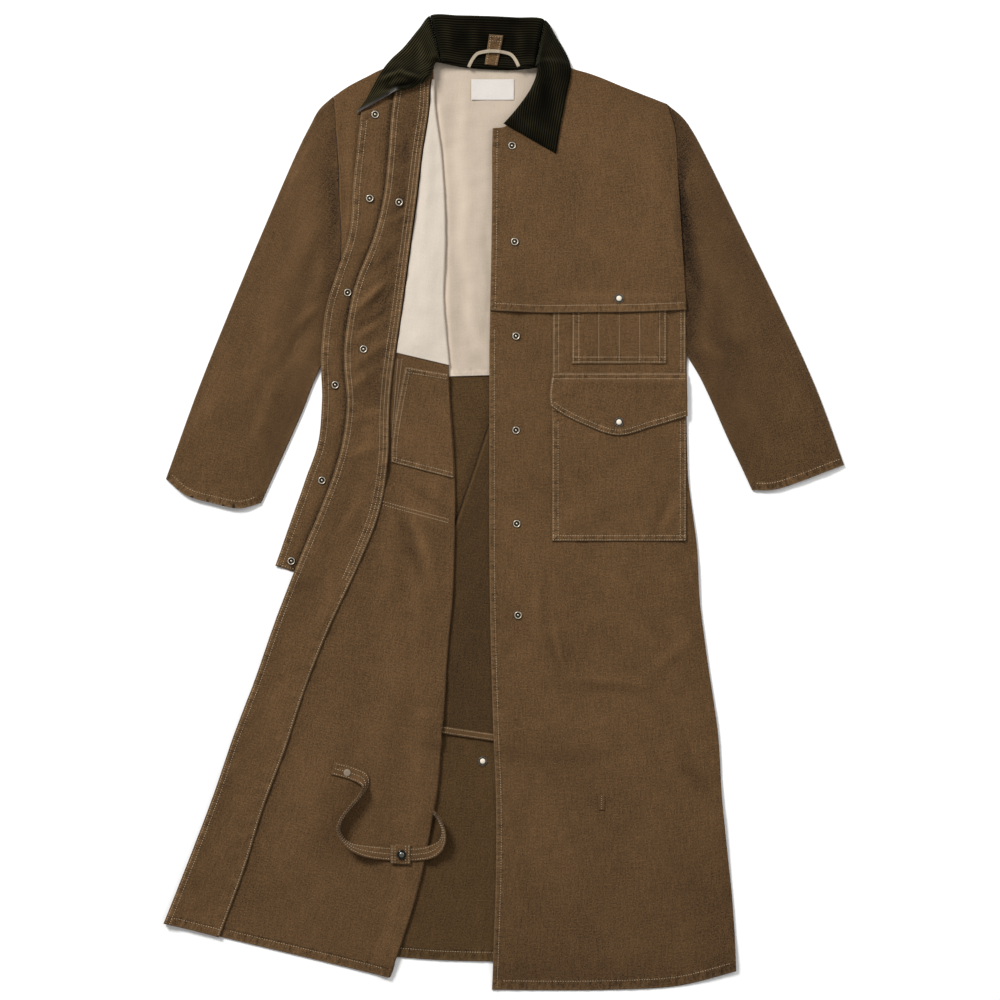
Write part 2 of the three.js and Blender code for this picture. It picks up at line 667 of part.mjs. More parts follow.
// A strap of even width along a route, leaning on its edge where the route says so
function addStrap(name, route, width, thickness, finish, steps) {
  const path = smoothEdge(route.map((stop) => stop.at));
  const leanAt = (share) => {
    const place = share * (route.length - 1);
    const stop = Math.min(Math.floor(place), route.length - 2);
    const lean = THREE.MathUtils.lerp(route[stop].lean, route[stop + 1].lean, place - stop);
    return THREE.MathUtils.degToRad(lean);
  };
  const rings = [];
  for (let step = 0; step <= steps; step++) {
    const share = step / steps;
    const at = path(share);
    const ahead = path(Math.min(1, share + 0.01)).sub(path(Math.max(0, share - 0.01))).normalize();
    const lean = leanAt(share);
    const across = new THREE.Vector3(-ahead.y * Math.cos(lean), ahead.x * Math.cos(lean), Math.sin(lean));
    const thick = new THREE.Vector3().crossVectors(ahead, across);
    const reach = (width / 2) * Math.cos(lean) + thickness;
    const support = body.supportWithin(at.x, at.y, reach);
    at.z = support + (width / 2) * Math.sin(lean) + (thickness / 2) * Math.cos(lean);
    rings.push([[-1, -1], [1, -1], [1, 1], [-1, 1]].map(([side, face]) => (
      at.clone().addScaledVector(across, (side * width) / 2).addScaledVector(thick, (face * thickness) / 2)
    )));
  }
  const faces = [0, 1, 2, 0, 2, 3];
  for (let step = 0; step < steps; step++) {
    for (let corner = 0; corner < 4; corner++) {
      const [a, b] = [step * 4 + corner, step * 4 + ((corner + 1) % 4)];
      faces.push(a, a + 4, b + 4, a, b + 4, b);
    }
  }
  const end = steps * 4;
  faces.push(end, end + 2, end + 1, end, end + 3, end + 2);
  addPiece(name, closedBody(rings.flat(), faces), finish);
  body.add(rings.map((ring) => [ring[3], ring[2]]));
}

// The collar's hidden layers share one rounded body, thin at its open edges and full at its roll
function addCollar() {
  const last = collarSections.length - 1;
  const [outer, neck] = ['outer', 'neck'].map((name) => column(collarSections, name));
  const heightAt = (name, share) => {
    const place = share * last;
    const section = Math.min(Math.floor(place), last - 1);
    const [from, to] = [collarSections[section][name], collarSections[section + 1][name]];
    return THREE.MathUtils.lerp(from, to, place - section);
  };
  const seamShare = 0.0025;
  const parts = [
    { name: 'collar_right_fall', from: 0, to: 6 / last - seamShare, rows: 10, crown: 2 },
    { name: 'collar_back', from: 6 / last + seamShare, to: 10 / last - seamShare, rows: 8, crown: -3 },
    { name: 'collar_left_fall', from: 10 / last + seamShare, to: 1, rows: 10, crown: 2 },
  ];
  const columns = 7;
  const grids = parts.map(({ from, to, rows }) => (
    loft(partOf(outer, from, to), partOf(neck, from, to), rows, columns)
  ));
  grids.forEach((grid) => body.settle(grid));
  parts.forEach(({ name, from, to, crown }, number) => {
    body.add(wallUp(name, grids[number], (along, across) => {
      const share = from + (to - from) * along;
      const heights = ['outerHeight', 'neckHeight'].map((name) => heightAt(name, share));
      const height = THREE.MathUtils.lerp(...heights, across);
      const full = height + crown * Math.sin(Math.PI * across);
      const round = Math.min(1, Math.min(across, 1 - across) * columns);
      return THREE.MathUtils.lerp(Math.min(corduroyEdge, full), full, round);
    }, 'corduroy'));
  });
}

function addNeckTrim() {
  const { low, high } = collarTab;
  const grid = loft(straightEdge(low[0], high[0]), straightEdge(low[1], high[1]), 4, 1);
  layPiece('collar_tab', grid, canvas, 'shell');
  const route = hangerLoop.map((at) => ({ at, lean: 0 }));
  addStrap('hanger_loop', route, loopWidth, tape, 'lining', 12);
}

addBack();
addBackInside();
addSleeve('left', leftSleeve, leftSleeveFolds);
addSleeve('right', rightSleeve, rightSleeveFolds);
addSnap('back_vent_cap', backCap, capSnapProfile, 'pearl');
addLeftFront();
addLeftPockets();
addStormYoke();
addRightFront();
addRightFrontInside();
addStrap('leg_strap', legStrapRoute, strapWidth, webbing, 'shell', 36);
layPiece('leg_strap_keeper', rectangle(strapKeeper, 3, 2), canvas, 'shell');
addCollar();
addNeckTrim();
addRingSnaps('left_front_snap', leftFrontSnaps);
addRingSnaps('facing_snap', facingSnaps);
addSnap('yoke_cap', yokeCap, capSnapProfile, 'pearl');
addSnap('pocket_flap_cap', flapCap, capSnapProfile, 'pearl');
addSnap('leg_strap_end_snap', strapEndSnap, ringSnapProfile, 'brass');
addSnap('leg_strap_keeper_snap', keeperSnap, capSnapProfile, 'brass');

export default coat;
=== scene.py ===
# A duster coat of heavy cotton canvas, laid open on its back, dressed piece by piece from the lowest layer up.
# Lengths are in metres; the tables of outlines are in millimetres, as a pattern is drawn, and turned by MM.
# Left and right in the names are the wearer's: the coat's left front lies at +X.
import math

import bpy
import numpy as np
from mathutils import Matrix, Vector


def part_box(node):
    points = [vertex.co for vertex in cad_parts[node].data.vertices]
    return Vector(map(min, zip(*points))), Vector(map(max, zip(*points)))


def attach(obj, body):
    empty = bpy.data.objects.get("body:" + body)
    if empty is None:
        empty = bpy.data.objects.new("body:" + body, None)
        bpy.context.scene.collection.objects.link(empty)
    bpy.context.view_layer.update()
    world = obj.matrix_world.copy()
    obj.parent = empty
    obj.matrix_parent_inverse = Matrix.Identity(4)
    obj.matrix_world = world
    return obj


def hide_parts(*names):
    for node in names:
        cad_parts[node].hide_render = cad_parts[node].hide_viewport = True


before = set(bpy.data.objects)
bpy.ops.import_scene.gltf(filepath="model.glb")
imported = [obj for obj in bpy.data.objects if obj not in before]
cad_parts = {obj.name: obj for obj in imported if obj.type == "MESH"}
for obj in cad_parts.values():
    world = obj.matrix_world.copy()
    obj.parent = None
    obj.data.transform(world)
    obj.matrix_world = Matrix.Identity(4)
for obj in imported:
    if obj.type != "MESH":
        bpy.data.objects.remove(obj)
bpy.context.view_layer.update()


# The camera looks straight down on the laid coat from a little over four metres, with a long lens.
# Its middle lies a few millimetres off the coat's origin, as in the photograph.
camera_lens, camera_sensor = 100, 36
camera_height = 4.167
camera_over = (-0.006, 0.0045)

camera = bpy.data.objects.new("camera", bpy.data.cameras.new("camera"))
camera.data.lens = camera_lens
camera.data.sensor_width = camera_sensor
camera.location = (*camera_over, camera_height)
bpy.context.scene.collection.objects.link(camera)
bpy.context.scene.camera = camera


# Back panel: one wide piece of the olive-brown canvas that lies outside down, so its inside face shows.
# It is cut on the straight grain, runs from hem to neck seam and carries every layer laid after it.
MM = 0.001
canvas = 1.5 * MM
gap = 0.35 * MM
mesh_step = 4.9 * MM
inside_brown = (0.052, 0.0285, 0.0105)
outside_brown = (0.094, 0.0505, 0.0206)
worn_brown = (0.225, 0.146, 0.075)

back_sections = [
    {"right": (-174, -680), "left": (346, -692)},
    {"right": (-153, -603), "left": (343, -603)},
    {"right": (-133, -513), "left": (334, -513)},
    {"right": (-123, -421), "left": (325, -421)},
    {"right": (-118, -325), "left": (318, -325)},
    {"right": (-120, -228), "left": (304, -228)},
    {"right": (-124, -130), "left": (292, -130)},
    {"right": (-133, -40), "left": (286, -40)},
    {"right": (-154, 42), "left": (276, 42)},
    {"right": (-192, 117), "left": (273, 117)},
    {"right": (-234, 177), "left": (274, 196)},
    {"right": (-259, 234), "left": (274, 220)},
    {"right": (-249, 304), "left": (273, 289)},
    {"right": (-244, 387), "left": (267, 387)},
    {"right": (-247, 469), "left": (261, 484)},
    {"right": (-250, 537), "left": (256, 559)},
    {"right": (-255, 610), "left": (244, 598)},
]
back_hem = [(-174, -680), (-90, -686), (1, -688), (170, -692), (346, -692)]
shoulders = [(-255, 610), (-231, 626), (-206, 639), (-178, 652), (-106, 661), (-66, 655), (-25, 651),
             (13, 650), (54, 657), (102, 649), (150, 633), (198, 615), (244, 598)]


def smooth_edge(points):
    """A smooth edge through a few points in millimetres, as a function of shares from 0 to 1."""
    knots = np.array(points, float) * MM
    knots = np.vstack([2 * knots[0] - knots[1], knots, 2 * knots[-1] - knots[-2]])
    spans = np.linalg.norm(np.diff(knots, axis=0), axis=1) ** 0.5
    last = len(points) - 1

    def edge(shares):
        place = np.clip(np.asarray(shares, float), 0, 1) * last
        span = np.minimum(place.astype(int), last - 1)
        t = (place - span)[:, None]
        p0, p1, p2, p3 = (knots[span + i] for i in range(4))
        d0, d1, d2 = (spans[span + i][:, None] for i in range(3))
        start = ((p1 - p0) / d0 - (p2 - p0) / (d0 + d1)) * d1 + (p2 - p1)
        end = (p2 - p1) + ((p3 - p2) / d2 - (p3 - p1) / (d1 + d2)) * d1
        return p1 + start * t + (3 * (p2 - p1) - 2 * start - end) * t**2 + (2 * (p1 - p2) + start + end) * t**3

    return edge


def straight_edge(start, end):
    """A straight edge between two points in millimetres."""
    start, end = np.array(start, float) * MM, np.array(end, float) * MM
    return lambda shares: start + np.asarray(shares, float)[:, None] * (end - start)


def column(sections, name):
    return smooth_edge([section[name] for section in sections])


def part_of(edge, start, end):
    return lambda shares: edge(start + (end - start) * np.asarray(shares, float))


def moved_across(edge, distance):
    return lambda shares: edge(shares) + np.array([distance, 0])


# Rows of points crowd together beside a finished edge, where its roll and its stitching are
beside_edge = np.array([0, 0.25, 0.7, 1.4, 2.4, 3.6, 5, 6.4, 7.6, 8.8, 10.2, 12, 14, 15.6, 17, 18.6, 21, 24.5]) * MM


def spaced_shares(edges, step):
    """Shares along a pair of edges: even steps in their middle, and crowded ones at both ends."""
    fine = np.linspace(0, 1, 600)
    runs = [np.concatenate([[0], np.cumsum(np.linalg.norm(np.diff(edge(fine), axis=0), axis=1))]) for edge in edges]
    run = sum(runs) / len(runs)
    ends = beside_edge[beside_edge < run[-1] * 0.45]
    middle = np.linspace(ends[-1], run[-1] - ends[-1], max(2, math.ceil((run[-1] - 2 * ends[-1]) / step) + 1))
    return np.interp(np.concatenate([ends[:-1], middle, (run[-1] - ends[:-1])[::-1]]), run, fine)


class Panel:
    """A flat cut piece: a grid of points whose rows run up between its left and its right edge."""

    def __init__(self, left, right, low=None, high=None, step=mesh_step, along=None):
        corners = [edge([share])[0] / MM for edge in (left, right) for share in (0, 1)]
        low = low or straight_edge(corners[0], corners[2])
        high = high or straight_edge(corners[1], corners[3])
        self.edges = {"left": left, "right": right, "low": low, "high": high}
        self.along = spaced_shares([left, right], step) if along is None else along
        across = spaced_shares([low, high], step)
        u, v = across[None, :, None], self.along[:, None, None]
        lefts, rights = left(self.along)[:, None], right(self.along)[:, None]
        lows, highs = low(across)[None], high(across)[None]
        corner = [low([0])[0], low([1])[0], high([0])[0], high([1])[0]]
        flat = (1 - v) * ((1 - u) * corner[0] + u * corner[1]) + v * ((1 - u) * corner[2] + u * corner[3])
        self.points = (1 - u) * lefts + u * rights + (1 - v) * lows + v * highs - flat
        steps = np.linspace(0, 1, 141)
        self.lines = {name: edge(steps) for name, edge in self.edges.items()}


def beside(points, line):
    """How far each point is from a line, and how far along the line its nearest place is."""
    away, along, run = np.full(len(points), 9.0), np.zeros(len(points)), 0.0
    for start, step in zip(line[:-1], np.diff(line, axis=0)):
        length = math.hypot(*step)
        if length < 1e-9:
            continue
        share = np.clip((points - start) @ step / length**2, 0, 1)
        distance = np.linalg.norm(points - start - share[:, None] * step, axis=1)
        nearer = distance < away
        away, along = np.where(nearer, distance, away), np.where(nearer, run + share * length, along)
        run += length
    return away, along


def ripples(points, wavelength, seed, waves=14):
    """An even field of soft waves in many directions, about 1 high."""
    draw = np.random.default_rng(seed)
    angles, phases = draw.uniform(0, math.tau, (2, waves))
    pitches = wavelength * draw.uniform(0.7, 1.6, waves)
    field = np.zeros(len(points))
    for angle, phase, pitch in zip(angles, phases, pitches):
        across = points[:, 0] * math.cos(angle) + points[:, 1] * math.sin(angle)
        field += np.cos(across * math.tau / pitch + phase)
    return field / math.sqrt(waves / 2)


crease_depth = 2.6


def creases(points, folds, seed=3, hollow=0.0):
    """Height of a few long folds: each from one point to another in millimetres, with half width and height.
    Hollow is how deep the cloth sinks on both sides of a fold, as a share of the fold's height."""
    wander = ripples(points, 150 * MM, seed) * 5 * MM
    height = np.zeros(len(points))
    for start, end, half_width, rise in folds:
        start, step = np.array(start) * MM, (np.array(end) - np.array(start)) * MM
        share = np.clip((points - start) @ step / (step @ step), 0, 1)
        offset = points - start - share[:, None] * step
        side = (step[0] * offset[:, 1] - step[1] * offset[:, 0]) / math.hypot(*step)
        beyond = np.sqrt(np.maximum((offset**2).sum(1) - side**2, 0))
        side = side + wander * min(1, half_width / 16)
        away = np.hypot(side, beyond) / (half_width * MM)
        height += crease_depth * rise * MM * np.sin(math.pi * (0.06 + 0.88 * share)) * (
            np.exp(-away**2) - hollow * np.exp(-((away / 2) ** 2)))
    return height


def shade(points, folds, seed, beside_lines=()):
    """Painted light and shade on a cloth: a painted highlight on its folds, and painted shade beside them and beside
    covering layers.
    Each of the lines is given with its half width and its tone in millimetres of fold."""
    tone = sum((min(1, 12 / fold[2]) * creases(points, [fold], seed, hollow=0.5) for fold in folds), np.zeros(len(points)))
    for line, half_width, strength in beside_lines:
        tone = tone + strength * MM * np.exp(-((beside(points, line)[0] / (half_width * MM)) ** 2))
    return tone


def laid_cloth(points, seed, long_wave=0.5, crumple=0.13, folds=()):
    """The unevenness of cloth smoothed by hand: long soft waves, a fine crumple and its own folds."""
    waves = long_wave * ripples(points, 120 * MM, seed) + crumple * ripples(points, 26 * MM, seed + 1)
    fine = 0.35 * crumple * ripples(points, 11 * MM, seed + 2)
    return (waves + fine) * MM + creases(points, folds, seed)


# The pile: how high the laid cloth reaches so far, on square cells over the whole coat
cell = 2 * MM
pile_corner = np.array([-0.56, -0.78])
pile_cells = (780, 560)
body_pile = np.zeros(pile_cells)


def spread(field, radius):
    reach = range(-round(radius / cell), round(radius / cell) + 1)
    for axis in (0, 1):
        field = np.max([np.roll(field, shift, axis) for shift in reach], axis=0)
    return field


def soften(field, radius):
    reach = np.arange(-round(1.5 * radius / cell), round(1.5 * radius / cell) + 1)
    weights = np.exp(-0.5 * (reach * cell * 2 / radius) ** 2)
    for axis in (0, 1):
        field = sum(weight * np.roll(field, shift, axis) for weight, shift in zip(weights / weights.sum(), reach))
    return field


def height_at(field, points):
    place = (points - pile_corner) / cell - 0.5
    low = np.floor(place).astype(int)
    x, y = (place - low).T
    column_at, row_at = low.T
    lower = field[row_at, column_at] * (1 - x) + field[row_at, column_at + 1] * x
    upper = field[row_at + 1, column_at] * (1 - x) + field[row_at + 1, column_at + 1] * x
    return lower * (1 - y) + upper * y


def add_to_pile(pile, grid):
    """Raises the pile to a grid of points, filled in between them so that no cell is missed."""
    for axis in (0, 1):
        count = grid.shape[axis]
        places = np.linspace(0, count - 1, (count - 1) * 4 + 1)
        low = np.minimum(places.astype(int), count - 2)
        share = (places - low).reshape([-1 if i == axis else 1 for i in range(3)])
        grid = np.take(grid, low, axis) * (1 - share) + np.take(grid, low + 1, axis) * share
    cells = np.floor((grid[..., :2] - pile_corner) / cell).astype(int)
    np.maximum.at(pile, (cells[..., 1].ravel(), cells[..., 0].ravel()), grid[..., 2].ravel())


def bed_under(pile, points, drape=7 * MM):
    """The height at which a cloth comes to lie on the pile, bridging its steps softly."""
    soft = height_at(soften(spread(pile, drape), drape), points)
    least = height_at(spread(pile, cell), points)
    return soft + gap * np.clip(soft / canvas, 0, 1), least + gap * (least > 0)


def shell(name, outside, inside, material, loop=False, wear=None, seam=None, painted_shading=None):
    """A closed wall of cloth between two grids of points, with its own cloth map in metres.
    Wear is how rubbed each point is, seam is how far it lies along and beside its seam, and how sewn, and
    painted_shading is painted light and shade: a painted highlight on folds, and painted shade in their hollows and
    beside covering layers."""
    rows, columns = outside.shape[:2]
    points = np.vstack([outside.reshape(-1, 3), inside.reshape(-1, 3)])
    number = np.arange(rows * columns).reshape(rows, columns)
    if loop:
        number = np.hstack([number, number[:, :1]])
    outer = np.stack([number[:-1, :-1], number[:-1, 1:], number[1:, 1:], number[1:, :-1]], -1).reshape(-1, 4)
    walls = [(number[0, :-1], number[0, 1:]), (number[-1, 1:], number[-1, :-1])]
    if not loop:
        walls += [(number[1:, 0], number[:-1, 0]), (number[:-1, -1], number[1:, -1])]
    under = rows * columns
    sides = [np.stack([b, a, a + under, b + under], -1) for a, b in walls]
    faces = np.vstack([outer, outer[:, ::-1] + under, *sides])
    a, b, c, d = (points[faces[:, i]] for i in range(4))
    if (np.einsum("ij,ij->i", a, np.cross(b, c)) + np.einsum("ij,ij->i", a, np.cross(c, d))).sum() < 0:
        faces = faces[:, ::-1]
    mesh = bpy.data.meshes.new(name)
    mesh.from_pydata(points.tolist(), [], faces.tolist())
    mesh.polygons.foreach_set("use_smooth", np.ones(len(faces), bool))
    steps = np.linalg.norm(np.diff(outside, axis=1, prepend=outside[:, :1]), axis=2).cumsum(1)
    rises = np.linalg.norm(np.diff(outside, axis=0, prepend=outside[:1]), axis=2).cumsum(0)
    cloth_map = np.tile(np.stack([steps, rises], -1).reshape(-1, 2), (2, 1))
    mesh.uv_layers.new(name="cloth").data.foreach_set("uv", cloth_map[faces.ravel()].ravel())
    worn = np.zeros((rows, columns)) if wear is None else wear
    mesh.attributes.new("wear", "FLOAT", "POINT").data.foreach_set("value", np.tile(worn.ravel(), 2))
    sewn = np.zeros((rows * columns, 3)) if seam is None else seam.reshape(-1, 3)
    mesh.attributes.new("seam", "FLOAT_VECTOR", "POINT").data.foreach_set("vector", np.tile(sewn, (2, 1)).ravel())
    raised = np.zeros(rows * columns) if painted_shading is None else np.clip(painted_shading.ravel() / (3 * MM), -2.4, 2)
    mesh.attributes.new("painted_shading", "FLOAT", "POINT").data.foreach_set("value", np.tile(raised, 2))
    mesh.materials.append(material)
    piece = bpy.data.objects.new(name, mesh)
    bpy.context.scene.collection.objects.link(piece)
    return piece


def edge_roll(away, radius):
    """How full the wall is beside its edge, from a quarter at the very edge to all of it."""
    return 0.2 + 0.8 * np.sqrt(1 - (1 - np.clip(away / radius, 0, 1)) ** 2)


def sewn_edge(points, line, rows, width, seed, fold=0.75, pucker=0.34):
    """The raised fold of a hem or felled edge, drawn in at its stitch rows and puckered between them.
    Returns its rise, how rubbed it is, and its place along and beside the seam with how sewn it is."""
    away, along = beside(points, line)
    rise = fold * MM / (1 + np.exp(np.minimum((away - width * MM) / (0.5 * MM), 50)))
    groove = sum(0.42 * MM * np.exp(-(((away - row * MM) / (1.2 * MM)) ** 2)) for row in rows)
    draw = np.random.default_rng(seed)
    ropes = np.zeros(len(points))
    for _ in range(6):
        slant, pitch, phase = draw.uniform(-0.9, 0.9), draw.uniform(9, 26) * MM, draw.uniform(0, math.tau)
        ropes += np.cos((along + slant * away) * math.tau / pitch + phase)
    fade = np.exp(-((away / ((width + 5) * MM)) ** 4)) * (1 - np.exp(-away / (1 * MM)))
    worn = 0.8 * np.exp(-away / (1.6 * MM)) + 0.2 * np.exp(-away / (12 * MM)) * np.clip(ropes / 2, 0, 1)
    sewn = 1 / (1 + np.exp(np.clip((away - (width + 1.5) * MM) / (1.2 * MM), -50, 50)))
    place = np.column_stack([along + seed * 0.37, away, sewn])
    return rise - groove + pucker * MM * ropes / 2.2 * fade, worn, place


def finish_cloth(piece, grid, slot, *nodes, rests_on=(), held="laid", tube_width=None):
    """Hangs a cloth piece under the root and hides the nodes that it stands for. What it rides on and its finish are
    not used, and the size that it was cut to is worked out but not kept.
    """
    across = np.linalg.norm(np.diff(grid, axis=1), axis=2).sum(1).max()
    along = np.linalg.norm(np.diff(grid, axis=0), axis=2).sum(0).max()
    one, two = grid[1:, 1:] - grid[:-1, :-1], grid[1:, :-1] - grid[:-1, 1:]
    area = np.linalg.norm(np.cross(one, two), axis=2).sum() / 2
    if tube_width:
        across, area = 2 * tube_width, 2 * area
    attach(piece, "root")
    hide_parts(*nodes)
    min(area, across * along)


def lay(name, panel, thickness, material, slot, *nodes, hems=(), seed=1, relief=None, pile=body_pile,
        drape=7 * MM, rests_on=(), rolled=("left", "right", "low", "high"), tapered=(), folds=(), shaded=(), **unevenness):
    """Lays a panel on the pile as a wall of cloth with rolled edges, and sews its hems' relief into it.
    A tapered side is sewn down flat, so that its edge makes no step."""
    shape = panel.points.shape[:2]
    flat = panel.points.reshape(-1, 2)
    bed, least = bed_under(pile, flat, drape)
    bottom = np.maximum(bed + laid_cloth(flat, seed, folds=folds, **unevenness), least)
    if relief is not None:
        bottom += relief(flat)
    away = np.min([beside(flat, panel.lines[side])[0] for side in rolled], axis=0)
    full = thickness * edge_roll(away, thickness)
    for side in tapered:
        full = full * np.clip(0.3 + 0.7 * beside(flat, panel.lines[side])[0] / (11 * MM), 0, 1)
    top = bottom + full
    # painted light and shade from the piece's folds and from its shaded lines
    painted_shading = shade(flat, folds, seed, shaded)
    worn, seam = np.zeros(len(flat)), np.zeros((len(flat), 3))
    for number, (side, rows, width, *folded) in enumerate(hems):
        rise, wear, place = sewn_edge(flat, panel.lines[side], rows, width, seed + 11 * number, *folded)
        top += rise * edge_roll(away, thickness)
        worn = np.maximum(worn, wear)
        seam = np.where(place[:, 2:] > seam[:, 2:], place, seam)
    low = np.column_stack([flat, bottom]).reshape(*shape, 3)
    high = np.column_stack([flat, top]).reshape(*shape, 3)
    piece = shell(name, high, low, material, wear=worn.reshape(shape), seam=seam, painted_shading=painted_shading)
    add_to_pile(pile, high)
    finish_cloth(piece, low, slot, *nodes, rests_on=rests_on)
    return piece


def woven_cloth(name, colour, worn, streak=0.34, grain=1.9, mottle=0.2, roughness=0.95, sheen=0.03, relief=0.5,
                pitch=0.9, puckered=1.0):
    """Woven cotton: slubs along and across the grain, cloudy colour, worn edges and a raised weave, with painted light
    and shade on its folds and seam puckers.
    """
    material = bpy.data.materials.new(name)
    material.use_nodes = True
    nodes, links = material.node_tree.nodes, material.node_tree.links
    shader = nodes["Principled BSDF"]
    shader.inputs["Roughness"].default_value = roughness
    shader.inputs["Sheen Weight"].default_value = sheen
    shader.inputs["Sheen Roughness"].default_value = 0.6
    shader.inputs["Specular IOR Level"].default_value = 0.1
    cloth_map = nodes.new("ShaderNodeUVMap")
    cloth_map.uv_map = "cloth"

    def noise(source, scale, detail):
        mapping = nodes.new("ShaderNodeMapping")
        mapping.inputs["Scale"].default_value = scale
        texture = nodes.new("ShaderNodeTexNoise")
        texture.inputs["Scale"].default_value = 1
        texture.inputs["Detail"].default_value = detail
        links.new(source, mapping.inputs["Vector"])
        links.new(mapping.outputs["Vector"], texture.inputs["Vector"])
        return texture.outputs["Fac"]

    def math_node(operation, first, second, third=None):
        node = nodes.new("ShaderNodeMath")
        node.operation = operation
        for socket, value in zip(node.inputs, (first, second, third)):
            if isinstance(value, (int, float)):
                socket.default_value = value
            elif value is not None:
                links.new(value, socket)
        return node.outputs[0]

    def weave(direction):
        wave = nodes.new("ShaderNodeTexWave")
        wave.bands_direction = direction
        wave.inputs["Scale"].default_value = 1 / (pitch * MM) / 2
        wave.inputs["Distortion"].default_value = 0.8
        wave.inputs["Detail"].default_value = 1
        links.new(cloth_map.outputs["UV"], wave.inputs["Vector"])
        return wave.outputs["Fac"]

    place = nodes.new("ShaderNodeTexCoord").outputs["Object"]
    seam = nodes.new("ShaderNodeAttribute")
    seam.attribute_name = "seam"
    beside_seam = nodes.new("ShaderNodeSeparateXYZ")
    links.new(seam.outputs["Vector"], beside_seam.inputs["Vector"])
    puckers = math_node("SUBTRACT", noise(seam.outputs["Vector"], (210, 70, 0), 2), 0.5)
    puckers = math_node("MULTIPLY", puckers, beside_seam.outputs["Z"])
    warp = noise(cloth_map.outputs["UV"], (420, 36, 1), 2)
    weft = noise(cloth_map.outputs["UV"], (40, 440, 1), 2)
    nubs = noise(cloth_map.outputs["UV"], (500, 460, 1), 1)
    clouds = noise(place, (8, 8, 8), 5)
    patches = noise(place, (34, 34, 34), 3)
    value = math_node("MULTIPLY_ADD", warp, 2 * streak, 1 - streak)
    value = math_node("MULTIPLY_ADD", math_node("SUBTRACT", weft, 0.5), 1.4 * streak, value)
    value = math_node("MULTIPLY_ADD", math_node("SUBTRACT", nubs, 0.5), grain, value)
    value = math_node("MULTIPLY_ADD", math_node("SUBTRACT", clouds, 0.5), 2.2 * mottle, value)
    value = math_node("MULTIPLY_ADD", math_node("SUBTRACT", patches, 0.5), 1.2 * mottle, value)
    # painted shading of the seam puckers: paler and darker beads along each seam, from the same noise as the pucker
    # bump
    value = math_node("MULTIPLY_ADD", puckers, 1.7 * puckered, value)
    # painted light and shade: the painted_shading attribute makes the cloth paler on folds and darker beside them and
    # beside covering layers
    painted_shading = nodes.new("ShaderNodeAttribute")
    painted_shading.attribute_name = "painted_shading"
    value = math_node("MULTIPLY_ADD", painted_shading.outputs["Fac"], 0.3, value)
    tint = nodes.new("ShaderNodeHueSaturation")
    tint.inputs["Color"].default_value = (*colour, 1)
    links.new(value, tint.inputs["Value"])
    wear = nodes.new("ShaderNodeAttribute")
    wear.attribute_name = "wear"
    rubbed = math_node("MULTIPLY", wear.outputs["Fac"], math_node("MULTIPLY_ADD", patches, 0.9, 0.05))
    mix = nodes.new("ShaderNodeMix")
    mix.data_type = "RGBA"
    links.new(rubbed, mix.inputs["Factor"])
    links.new(tint.outputs["Color"], mix.inputs["A"])
    mix.inputs["B"].default_value = (*worn, 1)
    links.new(mix.outputs["Result"], shader.inputs["Base Color"])
    raised = math_node("MULTIPLY_ADD", math_node("MULTIPLY", weave("X"), weave("Y")), 0.5, nubs)
    raised = math_node("MULTIPLY_ADD", warp, 0.6, raised)
    bump = nodes.new("ShaderNodeBump")
    bump.inputs["Strength"].default_value = relief
    bump.inputs["Distance"].default_value = 0.35 * MM
    links.new(raised, bump.inputs["Height"])
    drawn = nodes.new("ShaderNodeBump")
    drawn.inputs["Distance"].default_value = 2.6 * MM * puckered
    links.new(puckers, drawn.inputs["Height"])
    links.new(drawn.outputs["Normal"], bump.inputs["Normal"])
    links.new(bump.outputs["Normal"], shader.inputs["Normal"])
    return material


inside_fold = 1.5
canvas_inside = woven_cloth("canvas_inside_face", inside_brown, worn_brown)
# A copy of the inside face painted a quarter brighter for the back, as painted light against the shade of the deep
# opening.
back_painted_lighter = woven_cloth("canvas_inside_face_of_back", [1.25 * part for part in inside_brown], worn_brown)
canvas_outside = woven_cloth("canvas_outside_face", outside_brown, worn_brown)

gusset_right = [(-112, -342), (-111, -265), (-105, -175), (-94, -100), (-73, -28), (-49, 43), (-24, 117), (-6, 166)]
back_panel = Panel(column(back_sections, "right"), column(back_sections, "left"), smooth_edge(back_hem),
                   smooth_edge(shoulders))
# Painted shade on the back: a dark band beside the gusset's edge and a dark line above the hem, for their shadows.
back = lay("back_panel", back_panel, canvas, back_painted_lighter, "canvas_inside", "back",
           hems=[("low", (14,), 15, inside_fold)], seed=21, long_wave=0.2,
           shaded=[(np.array(gusset_right) * MM - [3 * MM, 0], 7, -2),
                   (back_panel.lines["low"] + [0, 15.6 * MM], 1.5, -4)])


# Stitching: lockstitch rows in tan thread, each stitch a short bead sunk into the cloth by its own pull.
# A seam's rows follow its edge at their distances from it, and every piece is sewn as soon as it lies.
thread_tan = (0.5, 0.385, 0.245)
stitch_pitch, stitch_length, thread_width = 3.7 * MM, 2.3 * MM, 1.2 * MM

thread = bpy.data.materials.new("tan_thread")
thread.use_nodes = True
thread_nodes, thread_links = thread.node_tree.nodes, thread.node_tree.links
thread_tone = thread_nodes.new("ShaderNodeTexNoise")
thread_tone.inputs["Scale"].default_value = 60
thread_place = thread_nodes.new("ShaderNodeTexCoord")
thread_ramp = thread_nodes.new("ShaderNodeValToRGB")
thread_ramp.color_ramp.elements[0].position, thread_ramp.color_ramp.elements[1].position = 0.3, 0.7
thread_ramp.color_ramp.elements[0].color = (*(0.55 * part for part in thread_tan), 1)
thread_ramp.color_ramp.elements[1].color = (*thread_tan, 1)
thread_links.new(thread_place.outputs["Object"], thread_tone.inputs["Vector"])
thread_links.new(thread_tone.outputs["Fac"], thread_ramp.inputs["Fac"])
thread_links.new(thread_ramp.outputs["Color"], thread_nodes["Principled BSDF"].inputs["Base Color"])
thread_nodes["Principled BSDF"].inputs["Roughness"].default_value = 0.75


